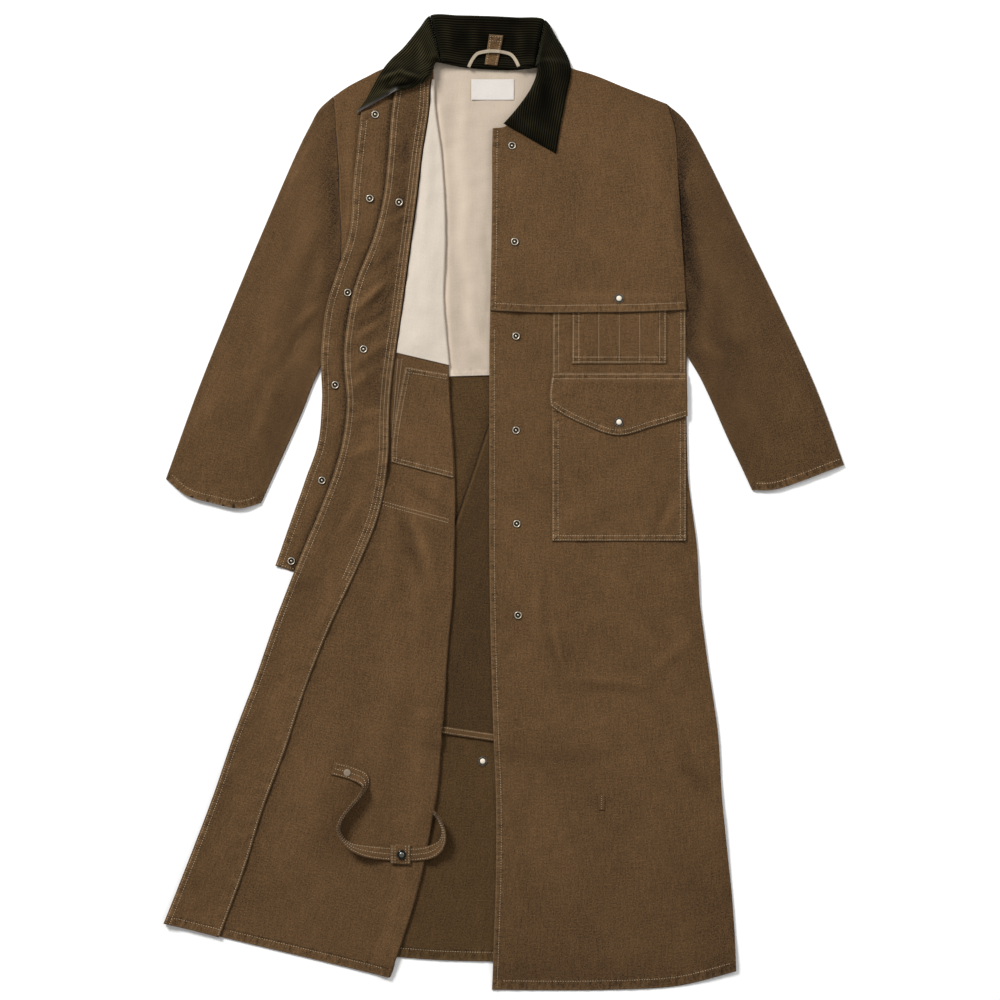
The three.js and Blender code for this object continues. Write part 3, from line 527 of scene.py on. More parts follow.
def new_tree(name, inputs, output):
    """An empty Geometry Nodes tree with named inputs, its input and output nodes, and a maker of nodes."""
    tree = bpy.data.node_groups.new(name, "GeometryNodeTree")
    for label, kind in inputs.items():
        tree.interface.new_socket(label, in_out="INPUT", socket_type=kind)
    tree.interface.new_socket(output, in_out="OUTPUT", socket_type="NodeSocketGeometry")

    def add(kind, mode=None, **links):
        node = tree.nodes.new(kind)
        if mode:
            node.mode = mode
        for label, source in links.items():
            tree.links.new(source, node.inputs[label.replace("_", " ")])
        return node

    return tree, add("NodeGroupInput"), add("NodeGroupOutput"), add


stitching, given, made, add = new_tree("stitching", {
    "Seam": "NodeSocketGeometry", "Pitch": "NodeSocketFloat", "Stitch length": "NodeSocketFloat",
    "Thread width": "NodeSocketFloat", "Thread": "NodeSocketMaterial",
}, "Stitches")
seam_curve = add("GeometryNodeMeshToCurve", Mesh=given.outputs["Seam"])
seam_points = add("GeometryNodeCurveToPoints", mode="LENGTH", Curve=seam_curve.outputs["Curve"],
                  Length=given.outputs["Pitch"])
bead = add("GeometryNodeMeshUVSphere")
bead.inputs["Segments"].default_value, bead.inputs["Rings"].default_value = 5, 3
bead.inputs["Radius"].default_value = 0.5
bead_size = add("ShaderNodeCombineXYZ", X=given.outputs["Thread width"], Y=given.outputs["Thread width"],
                Z=given.outputs["Stitch length"])
bead_shape = add("GeometryNodeTransform", Geometry=bead.outputs["Mesh"], Scale=bead_size.outputs["Vector"])
unevenly = add("FunctionNodeRandomValue")
unevenly.data_type = "FLOAT"
unevenly.inputs["Seed"].default_value = 4
unevenly.inputs[2].default_value, unevenly.inputs[3].default_value = 0.85, 1.08
beads = add("GeometryNodeInstanceOnPoints", Points=seam_points.outputs["Points"],
            Instance=bead_shape.outputs["Geometry"], Rotation=seam_points.outputs["Rotation"],
            Scale=unevenly.outputs[1])
real_beads = add("GeometryNodeRealizeInstances", Geometry=beads.outputs["Instances"])
smooth_beads = add("GeometryNodeSetShadeSmooth", Geometry=real_beads.outputs["Geometry"])
dyed_beads = add("GeometryNodeSetMaterial", Geometry=smooth_beads.outputs["Geometry"],
                 Material=given.outputs["Thread"])
stitching.links.new(dyed_beads.outputs["Geometry"], made.inputs["Stitches"])


def grown(name, source, tree, **inputs):
    """The plain mesh that a tree grows from an object; the object itself is removed."""
    modifier = source.modifiers.new("grow", "NODES")
    modifier.node_group = tree
    for item in tree.interface.items_tree:
        if item.in_out == "INPUT" and item.name.replace(" ", "_") in inputs:
            modifier[item.identifier] = inputs[item.name.replace(" ", "_")]
    bpy.context.view_layer.update()
    evaluated = source.evaluated_get(bpy.context.evaluated_depsgraph_get())
    mesh = bpy.data.meshes.new_from_object(evaluated)
    mesh.name = name
    bpy.data.objects.remove(source)
    piece = bpy.data.objects.new(name, mesh)
    bpy.context.scene.collection.objects.link(piece)
    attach(piece, "root")
    return piece


def inset(line, side, distance, start=0.0, end=0.0):
    """A row beside one border of a panel, that far in from it and short of its two ends by as much as said."""
    step = np.gradient(line, axis=0)
    turn = 1 if side in ("right", "low") else -1
    inward = turn * np.column_stack([-step[:, 1], step[:, 0]]) / np.linalg.norm(step, axis=1)[:, None]
    row = line + inward * distance * MM
    run = np.concatenate([[0], np.cumsum(np.linalg.norm(np.diff(row, axis=0), axis=1))])
    places = np.arange(start * MM, run[-1] - end * MM, 4 * MM)
    return np.column_stack([np.interp(places, run, row[:, 0]), np.interp(places, run, row[:, 1])])


def straight_row(start, end):
    """A straight row between two points in millimetres."""
    start, end = np.array(start, float) * MM, np.array(end, float) * MM
    return start + np.linspace(0, 1, max(2, round(math.dist(start, end) / (4 * MM))))[:, None] * (end - start)


def stitched(name, lines, pitch=stitch_pitch):
    """Rows of stitches through lists of points that lie on the cloth."""
    points = [tuple(point) for line in lines for point in line]
    starts = np.cumsum([0, *(len(line) for line in lines)])
    edges = [(i, i + 1) for start, end in zip(starts[:-1], starts[1:]) for i in range(start, end - 1)]
    mesh = bpy.data.meshes.new(name)
    mesh.from_pydata(points, edges, [])
    seam = bpy.data.objects.new(name, mesh)
    bpy.context.scene.collection.objects.link(seam)
    return grown(name, seam, stitching, Pitch=pitch, Stitch_length=stitch_length * pitch / stitch_pitch,
                 Thread_width=thread_width, Thread=thread)


def sew(name, cloth, rows, pitch=stitch_pitch):
    """Sews rows of stitches into the upper side of a cloth."""
    bpy.context.view_layer.update()
    lines = []
    for row in rows:
        hits = [cloth.ray_cast(Vector((x, y, 0.2)), Vector((0, 0, -1))) for x, y in row]
        lines.append([place + Vector((0, 0, 0.12 * MM)) for hit, place, _, _ in hits if hit])
    return stitched(name, [line for line in lines if len(line) > 1], pitch)


def hem_rows(panel, *hems):
    """The stitch rows of a panel's hems: (border, distances from it, room left at its start, at its end)."""
    return [inset(panel.lines[side], side, distance, start, end)
            for side, distances, start, end in hems for distance in distances]


sew("back_hem_stitching", back, hem_rows(back_panel, ("low", (14,), 4, 4)))


# Riding gusset: a fan of the same canvas set into the back above the vent, with a narrow sewn band along
# its hem. Below it the vent closes with a pearl-capped snap.
gusset_sections = [
    {"right": (-112, -342), "left": (144, -358)},
    {"right": (-111, -265), "left": (138, -280)},
    {"right": (-105, -175), "left": (126, -175)},
    {"right": (-94, -100), "left": (106, -100)},
    {"right": (-73, -28), "left": (81, -28)},
    {"right": (-49, 43), "left": (54, 43)},
    {"right": (-24, 117), "left": (27, 117)},
    {"right": (-6, 166), "left": (6, 166)},
]
gusset_hem = [(-112, -342), (-48, -352), (16, -360), (81, -361), (144, -358)]
gusset_band_depth = 11

gusset_panel = Panel(column(gusset_sections, "right"), column(gusset_sections, "left"), smooth_edge(gusset_hem),
                     step=6 * MM)
# Painted shadow and highlight: a dark line along the gusset's free edge and a pale line just inside it.
gusset = lay("riding_gusset", gusset_panel, canvas, canvas_inside, "canvas_inside", "back_gusset", seed=31,
             long_wave=0.15, rests_on=["back_panel"],
             shaded=[(gusset_panel.lines["left"], 2, -9), (gusset_panel.lines["left"] + [4.5 * MM, 0], 1.8, 5)])
band_low = smooth_edge([(x, y + 0.4) for x, y in gusset_hem])
band_high = smooth_edge([(x, y + gusset_band_depth) for x, y in gusset_hem])
band_panel = Panel(straight_edge(gusset_hem[0], (gusset_hem[0][0], gusset_hem[0][1] + gusset_band_depth)),
                   straight_edge(gusset_hem[-1], (gusset_hem[-1][0], gusset_hem[-1][1] + gusset_band_depth)),
                   band_low, band_high, step=4 * MM)
band = lay("gusset_band", band_panel, canvas, canvas_outside, "canvas_inside", "back_gusset_band", seed=33,
           long_wave=0.1, rests_on=["riding_gusset"])
sew("gusset_band_stitching", band, hem_rows(band_panel, ("low", (1.8,), 2, 2), ("high", (1.8,), 2, 2)))


# Upper lining of the back: smooth pale cotton from the neck seam to the waist, with a narrow turned hem.
# It hangs in soft upright folds that the flat canvas behind it doesn't have.
lining_cloth = 0.8 * MM
# The lining is one cloth in two tones: the back's is painted darker as painted shade, the front's lighter as painted
# light.
lining_shaded_tone = (0.435, 0.36, 0.283)
back_lining_sections = [
    {"right": (-100, 189), "left": (4, 192)},
    {"right": (-108, 274), "left": (6, 288)},
    {"right": (-110, 349), "left": (8, 387)},
    {"right": (-111, 484), "left": (10, 469)},
    {"right": (-115, 544), "left": (16, 529)},
    {"right": (-118, 604), "left": (36, 582)},
    {"right": (-105, 665), "left": (56, 655)},
]
back_lining_folds = [
    ((-66, 640), (-58, 200), 13, 1.5),
    ((-36, 560), (-40, 200), 17, 1.2),
    ((-12, 520), (-16, 200), 9, 1.3),
    ((-70, 300), (-20, 215), 12, 0.8),
]

lining = woven_cloth("pale_lining", lining_shaded_tone, (0.7, 0.63, 0.54), streak=0.05, grain=0.2, mottle=0.1,
                     roughness=0.85, relief=0.15, pitch=0.5, puckered=0.3)
back_lining_panel = Panel(column(back_lining_sections, "right"), column(back_lining_sections, "left"),
                          high=smooth_edge([(-105, 665), (-66, 659), (-25, 656), (13, 655), (56, 655)]))
fold_beside_lining = np.array([(-76, 180), (-82, 207), (-88, 297), (-87, 387), (-88, 459), (-93, 526), (-101, 592)]) * MM
# Painted light: the lining is painted paler beside the fold of the right front to offset that fold's shadow, and its
# folds carry painted highlights and shade.
back_lining = lay("back_lining_upper", back_lining_panel, lining_cloth, lining, "lining", "back_lining",
                  hems=[("low", (7.5,), 8.5), ("high", (), 5)], seed=41, long_wave=0.3, crumple=0.16,
                  folds=back_lining_folds, shaded=[(fold_beside_lining, 5, 4)], rests_on=["back_panel"])


# Neck label: a blank woven patch, machine-sewn all round to the lining under the neck seam.
# It has no words, only its woven ground; the line of pale thread round it is not drawn.
label_cloth = 0.5 * MM
label_low, label_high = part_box("neck_label")


def upright_panel(node, step=mesh_step):
    """A panel with straight sides, as wide and high as its node."""
    low, high = (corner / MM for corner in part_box(node))
    return Panel(straight_edge((low.x, low.y), (low.x, high.y)), straight_edge((high.x, low.y), (high.x, high.y)),
                 step=step)


label_white = woven_cloth("blank_label", (0.56, 0.525, 0.49), (0.62, 0.6, 0.57), streak=0.03, grain=0.15, mottle=0.04,
                          roughness=0.8, relief=0.3, pitch=0.6)
label_panel = upright_panel("neck_label", step=3 * MM)
label = lay("blank_neck_label", label_panel, label_cloth, label_white, "label", "neck_label", seed=43,
            long_wave=0.05, crumple=0.08, rests_on=["back_lining_upper"])


# Sleeves: each is a wide two-layer tube of the outside canvas, laid flat from a dropped armhole to an open,
# hemmed cuff. Air and the seam allowances keep its two layers a little apart, and its edges roll round.
underarm_section = 11
seam_room = 0.7
sleeve_roll = 2.1 * MM
sleeve_puff = 5.2 * MM
left_sleeve = {
    "painted_sleeve_shade": -2.1,
    "outer": [(510, 57), (469, 169), (415, 289), (357, 409), (298, 529), (281, 560), (268, 578)],
    "inner": [(372, 19), (354, 58), (334, 100), (313, 148), (294, 188)],
    "cuff": [(510, 57), (483, 47), (444, 32), (405, 20), (372, 19)],
    "folds": [
        ((288, 330), (322, 170), 15, 1.2), ((300, 420), (352, 250), 20, 1.0), ((345, 330), (404, 130), 20, 1.0),
        ((300, 500), (330, 420), 18, 0.8), ((420, 230), (452, 90), 22, 0.9), ((352, 190), (392, 90), 13, 0.8),
        ((330, 260), (372, 250), 12, 1.0), ((296, 240), (340, 214), 10, 1.2),
        ((262, 570), (288, 250), 13, -2.0), ((272, 470), (284, 300), 20, -1.2),
    ],
}
right_sleeve = {
    "painted_sleeve_shade": -0.8,
    "outer": [(-507, 36), (-459, 169), (-411, 289), (-361, 409), (-309, 529), (-291, 565), (-277, 590)],
    "inner": [(-364, 0), (-342, 48), (-321, 94), (-300, 142), (-282, 188)],
    "cuff": [(-507, 36), (-477, 12), (-438, 0), (-396, -8), (-364, 0)],
    "folds": [
        ((-262, 400), (-300, 210), 15, 2.4), ((-290, 480), (-330, 300), 20, 1.8), ((-330, 350), (-398, 130), 22, 1.6),
        ((-408, 240), (-450, 90), 20, 1.4), ((-340, 190), (-380, 80), 13, 1.3), ((-272, 300), (-312, 262), 10, 1.6),
        ((-280, 560), (-322, 440), 18, 1.2), ((-258, 560), (-266, 300), 12, -1.8), ((-272, 330), (-300, 230), 12, -2.2),
        ((-292, 280), (-330, 200), 12, -1.2),
    ],
}
sleeve_piles = {}


def lay_sleeve(side, shape, seam_shift, seed):
    last = len(back_sections) - 1
    armhole = moved_across(part_of(column(back_sections, side), 1, underarm_section / last), seam_shift * MM)
    top, bottom = armhole([0])[0] / MM, armhole([1])[0] / MM
    panel = Panel(smooth_edge([*shape["outer"], top]), smooth_edge([*shape["inner"], bottom]),
                  smooth_edge(shape["cuff"]), armhole, step=5.2 * MM)
    rows, columns = panel.points.shape[:2]
    flat = panel.points.reshape(-1, 2)
    away = np.minimum(*(beside(flat, panel.lines[name])[0] for name in ("left", "right")))
    from_cuff, from_armhole = (beside(flat, panel.lines[name])[0] for name in ("low", "high"))
    full = (1 - np.exp(-away / (32 * MM))) * (0.25 + 0.75 * np.clip(from_armhole / (90 * MM), 0, 1))
    full *= 0.55 + 0.45 * np.clip(from_cuff / (160 * MM), 0, 1)
    folds = creases(flat, shape["folds"], seed)
    uneven = 0.5 * MM * ripples(flat, 90 * MM, seed) + 0.16 * MM * ripples(flat, 24 * MM, seed + 1)
    edge_share = np.clip(away / (14 * MM), 0, 1)
    puff = np.maximum(sleeve_puff * full + (folds + uneven) * edge_share, 0)
    hem, worn, seam = sewn_edge(flat, panel.lines["low"], (10.5,), 11.5, seed)

    def roll(distance, radius):
        return radius * np.sqrt(1 - (1 - np.clip(distance / radius, 0, 1)) ** 2)

    def round_section(points_in, distance, radius, top_rise):
        reach = roll(distance, radius)
        upper = np.column_stack([points_in, sleeve_roll + reach + top_rise * edge_share]).reshape(rows, columns, 3)
        lower = np.column_stack([points_in, sleeve_roll - reach]).reshape(rows, columns, 3)
        return np.concatenate([upper, lower[:, ::-1]], axis=1)

    widths = np.linalg.norm(panel.points[:, -1] - panel.points[:, 0], axis=1)[:, None, None]
    share = (np.linalg.norm(panel.points - panel.points[:, :1], axis=2)[..., None]) / widths
    drawn_in = panel.points[:, :1] + (share * (1 - 2 * canvas / widths) + canvas / widths) * (
        panel.points[:, -1:] - panel.points[:, :1])
    outer = round_section(flat, away, sleeve_roll, puff + hem)
    inner = round_section(drawn_in.reshape(-1, 2), away, sleeve_roll - canvas, puff)
    wear = np.maximum(worn, np.exp(-away / (3 * MM)) * 0.3).reshape(rows, columns)
    seam = seam.reshape(rows, columns, 3)
    # Painted shade: darker beside the armhole and along both sides, the whole sleeve darkened by its
    # painted_sleeve_shade, and painted light and shade on its folds.
    painted_shading = shade(flat, shape["folds"], seed, [
        (panel.lines["high"], 9, -1.6), (panel.lines["high"], 34, -1.3), (panel.lines["left"], 16, -0.8),
        (panel.lines["right"], 20, -0.8)]).reshape(rows, columns) + shape["painted_sleeve_shade"] * MM
    name = f"{side}_sleeve"
    piece = shell(name, outer, inner, canvas_outside, loop=True, wear=np.hstack([wear, wear[:, ::-1] * 0]),
                  seam=np.hstack([seam, seam[:, ::-1]]), painted_shading=np.hstack([painted_shading, painted_shading[:, ::-1]]))
    pile = np.zeros(pile_cells)
    add_to_pile(pile, outer[:, :columns])
    sleeve_piles[side] = pile
    turns = [np.array([(math.cos(turn), -math.sin(turn)), (math.sin(turn), math.cos(turn))])
             for turn in np.linspace(0, math.pi, 60)]
    tube_width = min(np.ptp(flat @ turn, axis=0)[0] for turn in turns)
    finish_cloth(piece, outer[:, :columns], "canvas_outside", f"sleeve_{side}_top", f"sleeve_{side}_under",
                 tube_width=tube_width)
    sew(f"{name}_stitching", piece, hem_rows(panel, ("low", (10.5 if side == "right" else -10.5,), 5, 5)))


lay_sleeve("left", left_sleeve, seam_room, 51)
lay_sleeve("right", right_sleeve, -seam_room, 57)


# Vent snap: a pearl-faced cap on a plated ring, riveted through the back below the gusset band.
# The same cap closes the storm yoke and the pocket flap.
def fastener_metal(name, bright, dark, roughness, metallic, specular=0.5):
    """A snap's metal: bright where the attribute says it is rubbed, and dark in its hollows."""
    material = bpy.data.materials.new(name)
    material.use_nodes = True
    nodes, links = material.node_tree.nodes, material.node_tree.links
    shader = nodes["Principled BSDF"]
    shader.inputs["Roughness"].default_value = roughness
    shader.inputs["Metallic"].default_value = metallic
    shader.inputs["Specular IOR Level"].default_value = specular
    tone = nodes.new("ShaderNodeAttribute")
    tone.attribute_name = "rubbed"
    place = nodes.new("ShaderNodeTexCoord")
    spots = nodes.new("ShaderNodeTexNoise")
    spots.inputs["Scale"].default_value = 420
    links.new(place.outputs["Object"], spots.inputs["Vector"])
    share = nodes.new("ShaderNodeMath")
    share.operation = "MULTIPLY_ADD"
    links.new(spots.outputs["Fac"], share.inputs[0])
    share.inputs[1].default_value = 0.3
    links.new(tone.outputs["Fac"], share.inputs[2])
    ramp = nodes.new("ShaderNodeValToRGB")
    ramp.color_ramp.elements[0].color = (*dark, 1)
    ramp.color_ramp.elements[1].color = (*bright, 1)
    ramp.color_ramp.elements[0].position, ramp.color_ramp.elements[1].position = 0.15, 1
    links.new(share.outputs[0], ramp.inputs["Fac"])
    links.new(ramp.outputs["Color"], shader.inputs["Base Color"])
    return material


snap_metal = fastener_metal("aged_brass", (0.62, 0.54, 0.42), (0.012, 0.008, 0.005), 0.36, 0.75)
dark_cap_metal = fastener_metal("dark_cap", (0.16, 0.165, 0.15), (0.015, 0.015, 0.013), 0.24, 0.9)
pearl = fastener_metal("pearl_cap", (0.72, 0.64, 0.52), (0.010, 0.007, 0.004), 0.5, 0, 0.15)

# Profiles turned about a snap's own axis: radius, height and how bright the metal is there
cap_profile = [(0, 3.3, 1), (2.0, 3.2, 1), (3.3, 2.8, 0.95), (3.9, 2.2, 0.8), (4.2, 1.5, 0), (5.5, 1.2, 0),
               (5.9, 1.5, 0.05), (6.4, 1.6, 0.22), (6.8, 1.1, 0.02), (7.3, 0.5, 0), (7.1, 0, 0), (0, 0, 0)]
ring_profile = [(0, 1.5, 1), (0.9, 1.4, 0.9), (1.3, 0.9, 0.2), (1.7, 0.55, 0), (3.4, 0.5, 0), (3.9, 0.9, 0.1),
                (4.3, 1.6, 0.7), (4.8, 2.0, 1), (5.3, 1.8, 0.7), (5.6, 1.2, 0.05), (6.1, 1.0, 0.1), (6.5, 0.5, 0),
                (6.4, 0, 0), (0, 0, 0)]

setting, given, made, add = new_tree("snap_setting", {
    "Places": "NodeSocketGeometry", "Snap": "NodeSocketObject", "Metal": "NodeSocketMaterial",
}, "Snaps")
snap_shape = add("GeometryNodeObjectInfo", Object=given.outputs["Snap"])
turned = add("FunctionNodeRandomValue")
turned.data_type = "FLOAT_VECTOR"
turned.inputs["Seed"].default_value = 9
turned.inputs[0].default_value, turned.inputs[1].default_value = (-0.05, -0.05, 0), (0.05, 0.05, math.tau)
set_snaps = add("GeometryNodeInstanceOnPoints", Points=given.outputs["Places"],
                Instance=snap_shape.outputs["Geometry"], Rotation=turned.outputs[0])
real_snaps = add("GeometryNodeRealizeInstances", Geometry=set_snaps.outputs["Instances"])
plated_snaps = add("GeometryNodeSetMaterial", Geometry=real_snaps.outputs["Geometry"],
                   Material=given.outputs["Metal"])
setting.links.new(plated_snaps.outputs["Geometry"], made.inputs["Snaps"])


def set_fasteners(name, profile, metal, slot, *nodes, sides=28, pile=body_pile):
    """Sets one snap on the pile at the middle of each node that it stands for."""
    points, faces, tones = [], [], []
    for radius, height, tone in profile:
        count = 1 if radius == 0 else sides
        for turn in range(count):
            angle = math.tau * turn / sides
            points.append((radius * MM * math.cos(angle), radius * MM * math.sin(angle), height * MM))
            tones.append(tone)
    starts = [0] + [1 + sides * ring for ring in range(len(profile) - 1)]
    for turn in range(sides):
        after = (turn + 1) % sides
        faces.append((0, starts[1] + turn, starts[1] + after))
        for ring in range(1, len(profile) - 2):
            inner, outer = starts[ring], starts[ring + 1]
            faces.append((inner + turn, outer + turn, outer + after, inner + after))
        faces.append((starts[-1], starts[-2] + after, starts[-2] + turn))
    mesh = bpy.data.meshes.new(f"{name}_shape")
    mesh.from_pydata(points, [], faces)
    mesh.polygons.foreach_set("use_smooth", np.ones(len(faces), bool))
    mesh.attributes.new("rubbed", "FLOAT", "POINT").data.foreach_set("value", tones)
    snap = bpy.data.objects.new(f"{name}_shape", mesh)
    bpy.context.scene.collection.objects.link(snap)
    places = []
    for node in nodes:
        low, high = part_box(node)
        middle = (low + high) / 2
        radius = profile[-2][0] * MM * 0.7
        around = [(middle.x + radius * math.cos(turn), middle.y + radius * math.sin(turn)) for turn in range(7)]
        seat = height_at(pile, np.array([(middle.x, middle.y), *around])).max()
        places.append((middle.x, middle.y, seat - 0.1 * MM))
    spots = bpy.data.meshes.new(name)
    spots.from_pydata(places, [], [])
    holder = bpy.data.objects.new(name, spots)
    bpy.context.scene.collection.objects.link(holder)
    piece = grown(name, holder, setting, Snap=snap, Metal=metal)
    bpy.data.objects.remove(snap)
    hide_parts(*nodes)


set_fasteners("vent_snap", cap_profile, pearl, "pearl_cap", "back_vent_cap")


# Left front: a long panel of the outside canvas over the back, from shoulder to hem, with a double-stitched
# front edge and a deep hem. It is joined to the back at its side seam and to the sleeve at its armhole.
left_front_sections = [
    {"edge": (-18, -730), "side": (348, -702)},
    {"edge": (-15, -648), "side": (345, -633)},
    {"edge": (-12, -550), "side": (337, -547)},
    {"edge": (-12, -445), "side": (327, -445)},
    {"edge": (-16, -340), "side": (321, -348)},
    {"edge": (-19, -243), "side": (307, -250)},
    {"edge": (-21, -153), "side": (294, -153)},
    {"edge": (-22, -63), "side": (289, -63)},
    {"edge": (-22, 27), "side": (277, 27)},
    {"edge": (-22, 117), "side": (274, 117)},
    {"edge": (-22, 199), "side": (274, 196)},
    {"edge": (-22, 220), "side": (274, 220)},
    {"edge": (-21, 288), "side": (273, 289)},
    {"edge": (-19, 379), "side": (267, 387)},
    {"edge": (-18, 469), "side": (261, 484)},
    {"edge": (-18, 529), "side": (256, 559)},
    {"edge": (-17, 561), "side": (244, 598)},
]
left_front_hem = [(-18, -730), (73, -731), (165, -730), (262, -724), (348, -702)]
left_front_neck = [(-17, 561), (4, 565), (36, 603), (58, 655), (120, 646), (183, 622), (244, 598)]
front_edge_rows = (7.5,)
left_front_folds = [
    ((70, -60), (40, -330), 30, 0.8), ((255, -70), (268, -310), 24, 0.9), ((200, -330), (246, -700), 40, 0.9),
    ((60, -420), (74, -700), 44, 0.8), ((150, -120), (168, -420), 30, 0.4), ((120, -480), (150, -720), 30, -0.3),
    ((300, -360), (322, -640), 22, 0.7), ((190, -180), (238, -330), 20, 0.4), ((20, 60), (34, -200), 18, 0.5),
    ((110, -70), (190, -150), 16, 0.5), ((46, -96), (48, -216), 9, 0.8), ((60, -96), (62, -200), 8, -0.6), ((72, -190), (88, -246), 6, 1.1),
    ((66, -196), (80, -250), 5, -0.9), ((99, -262), (210, -268), 8, 0.7), ((99, -274), (210, -281), 8, -0.5),
    ((200, -268), (302, -190), 8, 0.7), ((268, -335), (306, -460), 14, -1.3), ((30, -620), (36, -420), 12, -0.4),
]

left_edge, left_side = column(left_front_sections, "edge"), column(left_front_sections, "side")
left_panel = Panel(left_edge, left_side, smooth_edge(left_front_hem), smooth_edge(left_front_neck))
# Painted shade: the left front is darker towards its hem and beside its side seam, with painted light and shade on its
# folds.
left_front = lay("left_front_panel", left_panel, canvas, canvas_outside, "canvas_outside", "left_front", seed=61,
                 hems=[("left", front_edge_rows, 9), ("low", (14,), 15)], long_wave=0.45,
                 rolled=("left", "low", "high"), drape=18 * MM, folds=left_front_folds,
                 shaded=[(left_panel.lines["low"], 150, -1.6), (left_panel.lines["right"], 44, -0.8)],
                 rests_on=["back_panel"])
sew("left_front_stitching", left_front, hem_rows(
    left_panel, ("left", front_edge_rows, 5, 300), ("low", (14,), 18, 4)))


# Pockets of the left front: a backing panel under the storm yoke, a shell pocket in stitched channels on it,
# and a large cargo pocket whose flap comes to a point. All are canvas, sewn down with double rows.
channel_lines = [0.283, 0.50, 0.717]
backing_low, backing_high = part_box("left_pocket_panel")
pocket_panel = Panel(*(straight_edge((x / MM, backing_low.y / MM - 5), (x / MM, backing_high.y / MM))
                       for x in (backing_low.x, backing_high.x)))
pocket_backing = lay("pocket_backing", pocket_panel, canvas, canvas_outside, "canvas_outside", "left_pocket_panel",
                     seed=71, hems=[("left", (2, 9), 10), ("right", (2, 7), 8)], long_wave=0.15,
                     rolled=("high",), tapered=("left", "right"), rests_on=["left_front_panel"])
sew("pocket_backing_stitching", pocket_backing, hem_rows(
    pocket_panel, ("left", (2, 9), 1, 1), ("right", (2, 7), 1, 1)))

shell_panel = upright_panel("left_shell_pocket")
shell_low, shell_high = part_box("left_shell_pocket")
channels = [shell_low.x + share * (shell_high.x - shell_low.x) for share in channel_lines]


def channel_relief(points):
    """Each channel between two stitch lines stands up a little, and its lines are drawn in."""
    sides = [shell_low.x + 9 * MM, *channels, shell_high.x - 9 * MM]
    rise = np.zeros(len(points))
    for left, right in zip(sides[:-1], sides[1:]):
        share = np.clip((points[:, 0] - left) / (right - left), 0, 1)
        rise += 0.7 * MM * np.sin(math.pi * share) ** 0.7
    return rise * np.clip((points[:, 1] - shell_low.y) / (14 * MM), 0, 1)


shell_pocket = lay("shell_pocket", shell_panel, canvas, canvas_outside, "canvas_outside", "left_shell_pocket",
                   seed=73, hems=[("left", (2, 10), 11), ("right", (2, 10), 11), ("low", (2.4, 9.5), 10.5)],
                   long_wave=0.1, relief=channel_relief, rolled=("high",), tapered=("left", "right", "low"),
                   rests_on=["pocket_backing"])
shell_rows = [straight_row((x / MM, shell_low.y / MM + 2), (x / MM, shell_high.y / MM - 1)) for x in channels]
sew("shell_pocket_stitching", shell_pocket, shell_rows + hem_rows(
    shell_panel, ("left", (2, 10), 2, 1), ("right", (2, 10), 2, 1), ("low", (2.4, 9.5), 2, 2)))

cargo_low, cargo_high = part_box("left_cargo_pocket")
cargo_mouth = cargo_high.y - 14 * MM
cargo_panel = Panel(*(straight_edge((x / MM, cargo_low.y / MM), (x / MM, cargo_mouth / MM))
                      for x in (cargo_low.x, cargo_high.x)))


def cargo_relief(points):
    """The pocket bags forward in its middle and is drawn down to its sewn sides."""
    across = np.clip((points[:, 0] - cargo_low.x) / (cargo_high.x - cargo_low.x), 0, 1)
    along = np.clip((points[:, 1] - cargo_low.y) / (cargo_high.y - cargo_low.y), 0, 1)
    return 2.0 * MM * np.sin(math.pi * across) ** 0.8 * np.sin(math.pi * along) ** 0.7


cargo_folds = [((120, -20), (240, 60), 22, 0.8), ((150, 90), (120, -30), 18, 0.7), ((256, 30), (218, -40), 10, -1.1),
               ((262, 8), (236, -44), 8, 0.9), ((95, 60), (110, -40), 12, 0.6)]
cargo_pocket = lay("cargo_pocket", cargo_panel, canvas, canvas_outside, "canvas_outside", "left_cargo_pocket",
                   seed=75, hems=[("left", (2, 9), 10), ("right", (2, 9), 10), ("low", (1.8, 8), 9),
                                  ("high", (), 3)], long_wave=0.35, relief=cargo_relief, folds=cargo_folds,
                   rests_on=["left_front_panel"])
sew("cargo_pocket_stitching", cargo_pocket, hem_rows(
    cargo_panel, ("left", (2, 9), 2, 60), ("right", (2, 9), 2, 60), ("low", (1.8, 8), 2, 2)))

flap_cloth = 2.2 * MM
flap_point = [(70, 145), (84, 135), (120, 117), (170, 101), (222, 114), (275, 130)]
flap_top = ((73, 195), (274, 195))
flap_left = [(70, 145), (68.5, 160), (70, 178), (73, 195)]
flap_panel = Panel(smooth_edge(flap_left), straight_edge((275, 130), (274, 195)), smooth_edge(flap_point),
                   straight_edge(*flap_top), step=4 * MM)
pocket_flap = lay("pocket_flap", flap_panel, flap_cloth, canvas_outside, "canvas_outside", "left_pocket_flap",
                  seed=77, hems=[("low", (2, 8), 9), ("left", (2,), 6), ("high", (2, 9), 10, 0.2)], long_wave=0.2,
                  drape=3 * MM, rolled=("left", "right", "low"), tapered=("high",), rests_on=["cargo_pocket"])
sew("pocket_flap_stitching", pocket_flap, hem_rows(
    flap_panel, ("low", (2, 8), 2, 2), ("left", (2,), 2, 2), ("high", (2, 9), 1, 1)))
set_fasteners("flap_snap", cap_profile, pearl, "pearl_cap", "pocket_flap_cap")

tack_panel = upright_panel("bartack", step=1.5 * MM)
tack = lay("knee_tack", tack_panel, 0.6 * MM, canvas_outside, "canvas_outside", "bartack", seed=79, long_wave=0,
           crumple=0.1, rests_on=["left_front_panel"])
tack_low, tack_high = (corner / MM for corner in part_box("bartack"))
sew("knee_tack_stitching", tack, [
    straight_row(((tack_low.x + tack_high.x) / 2, tack_low.y + 2), ((tack_low.x + tack_high.x) / 2, tack_high.y - 2)),
], pitch=2.6 * MM)


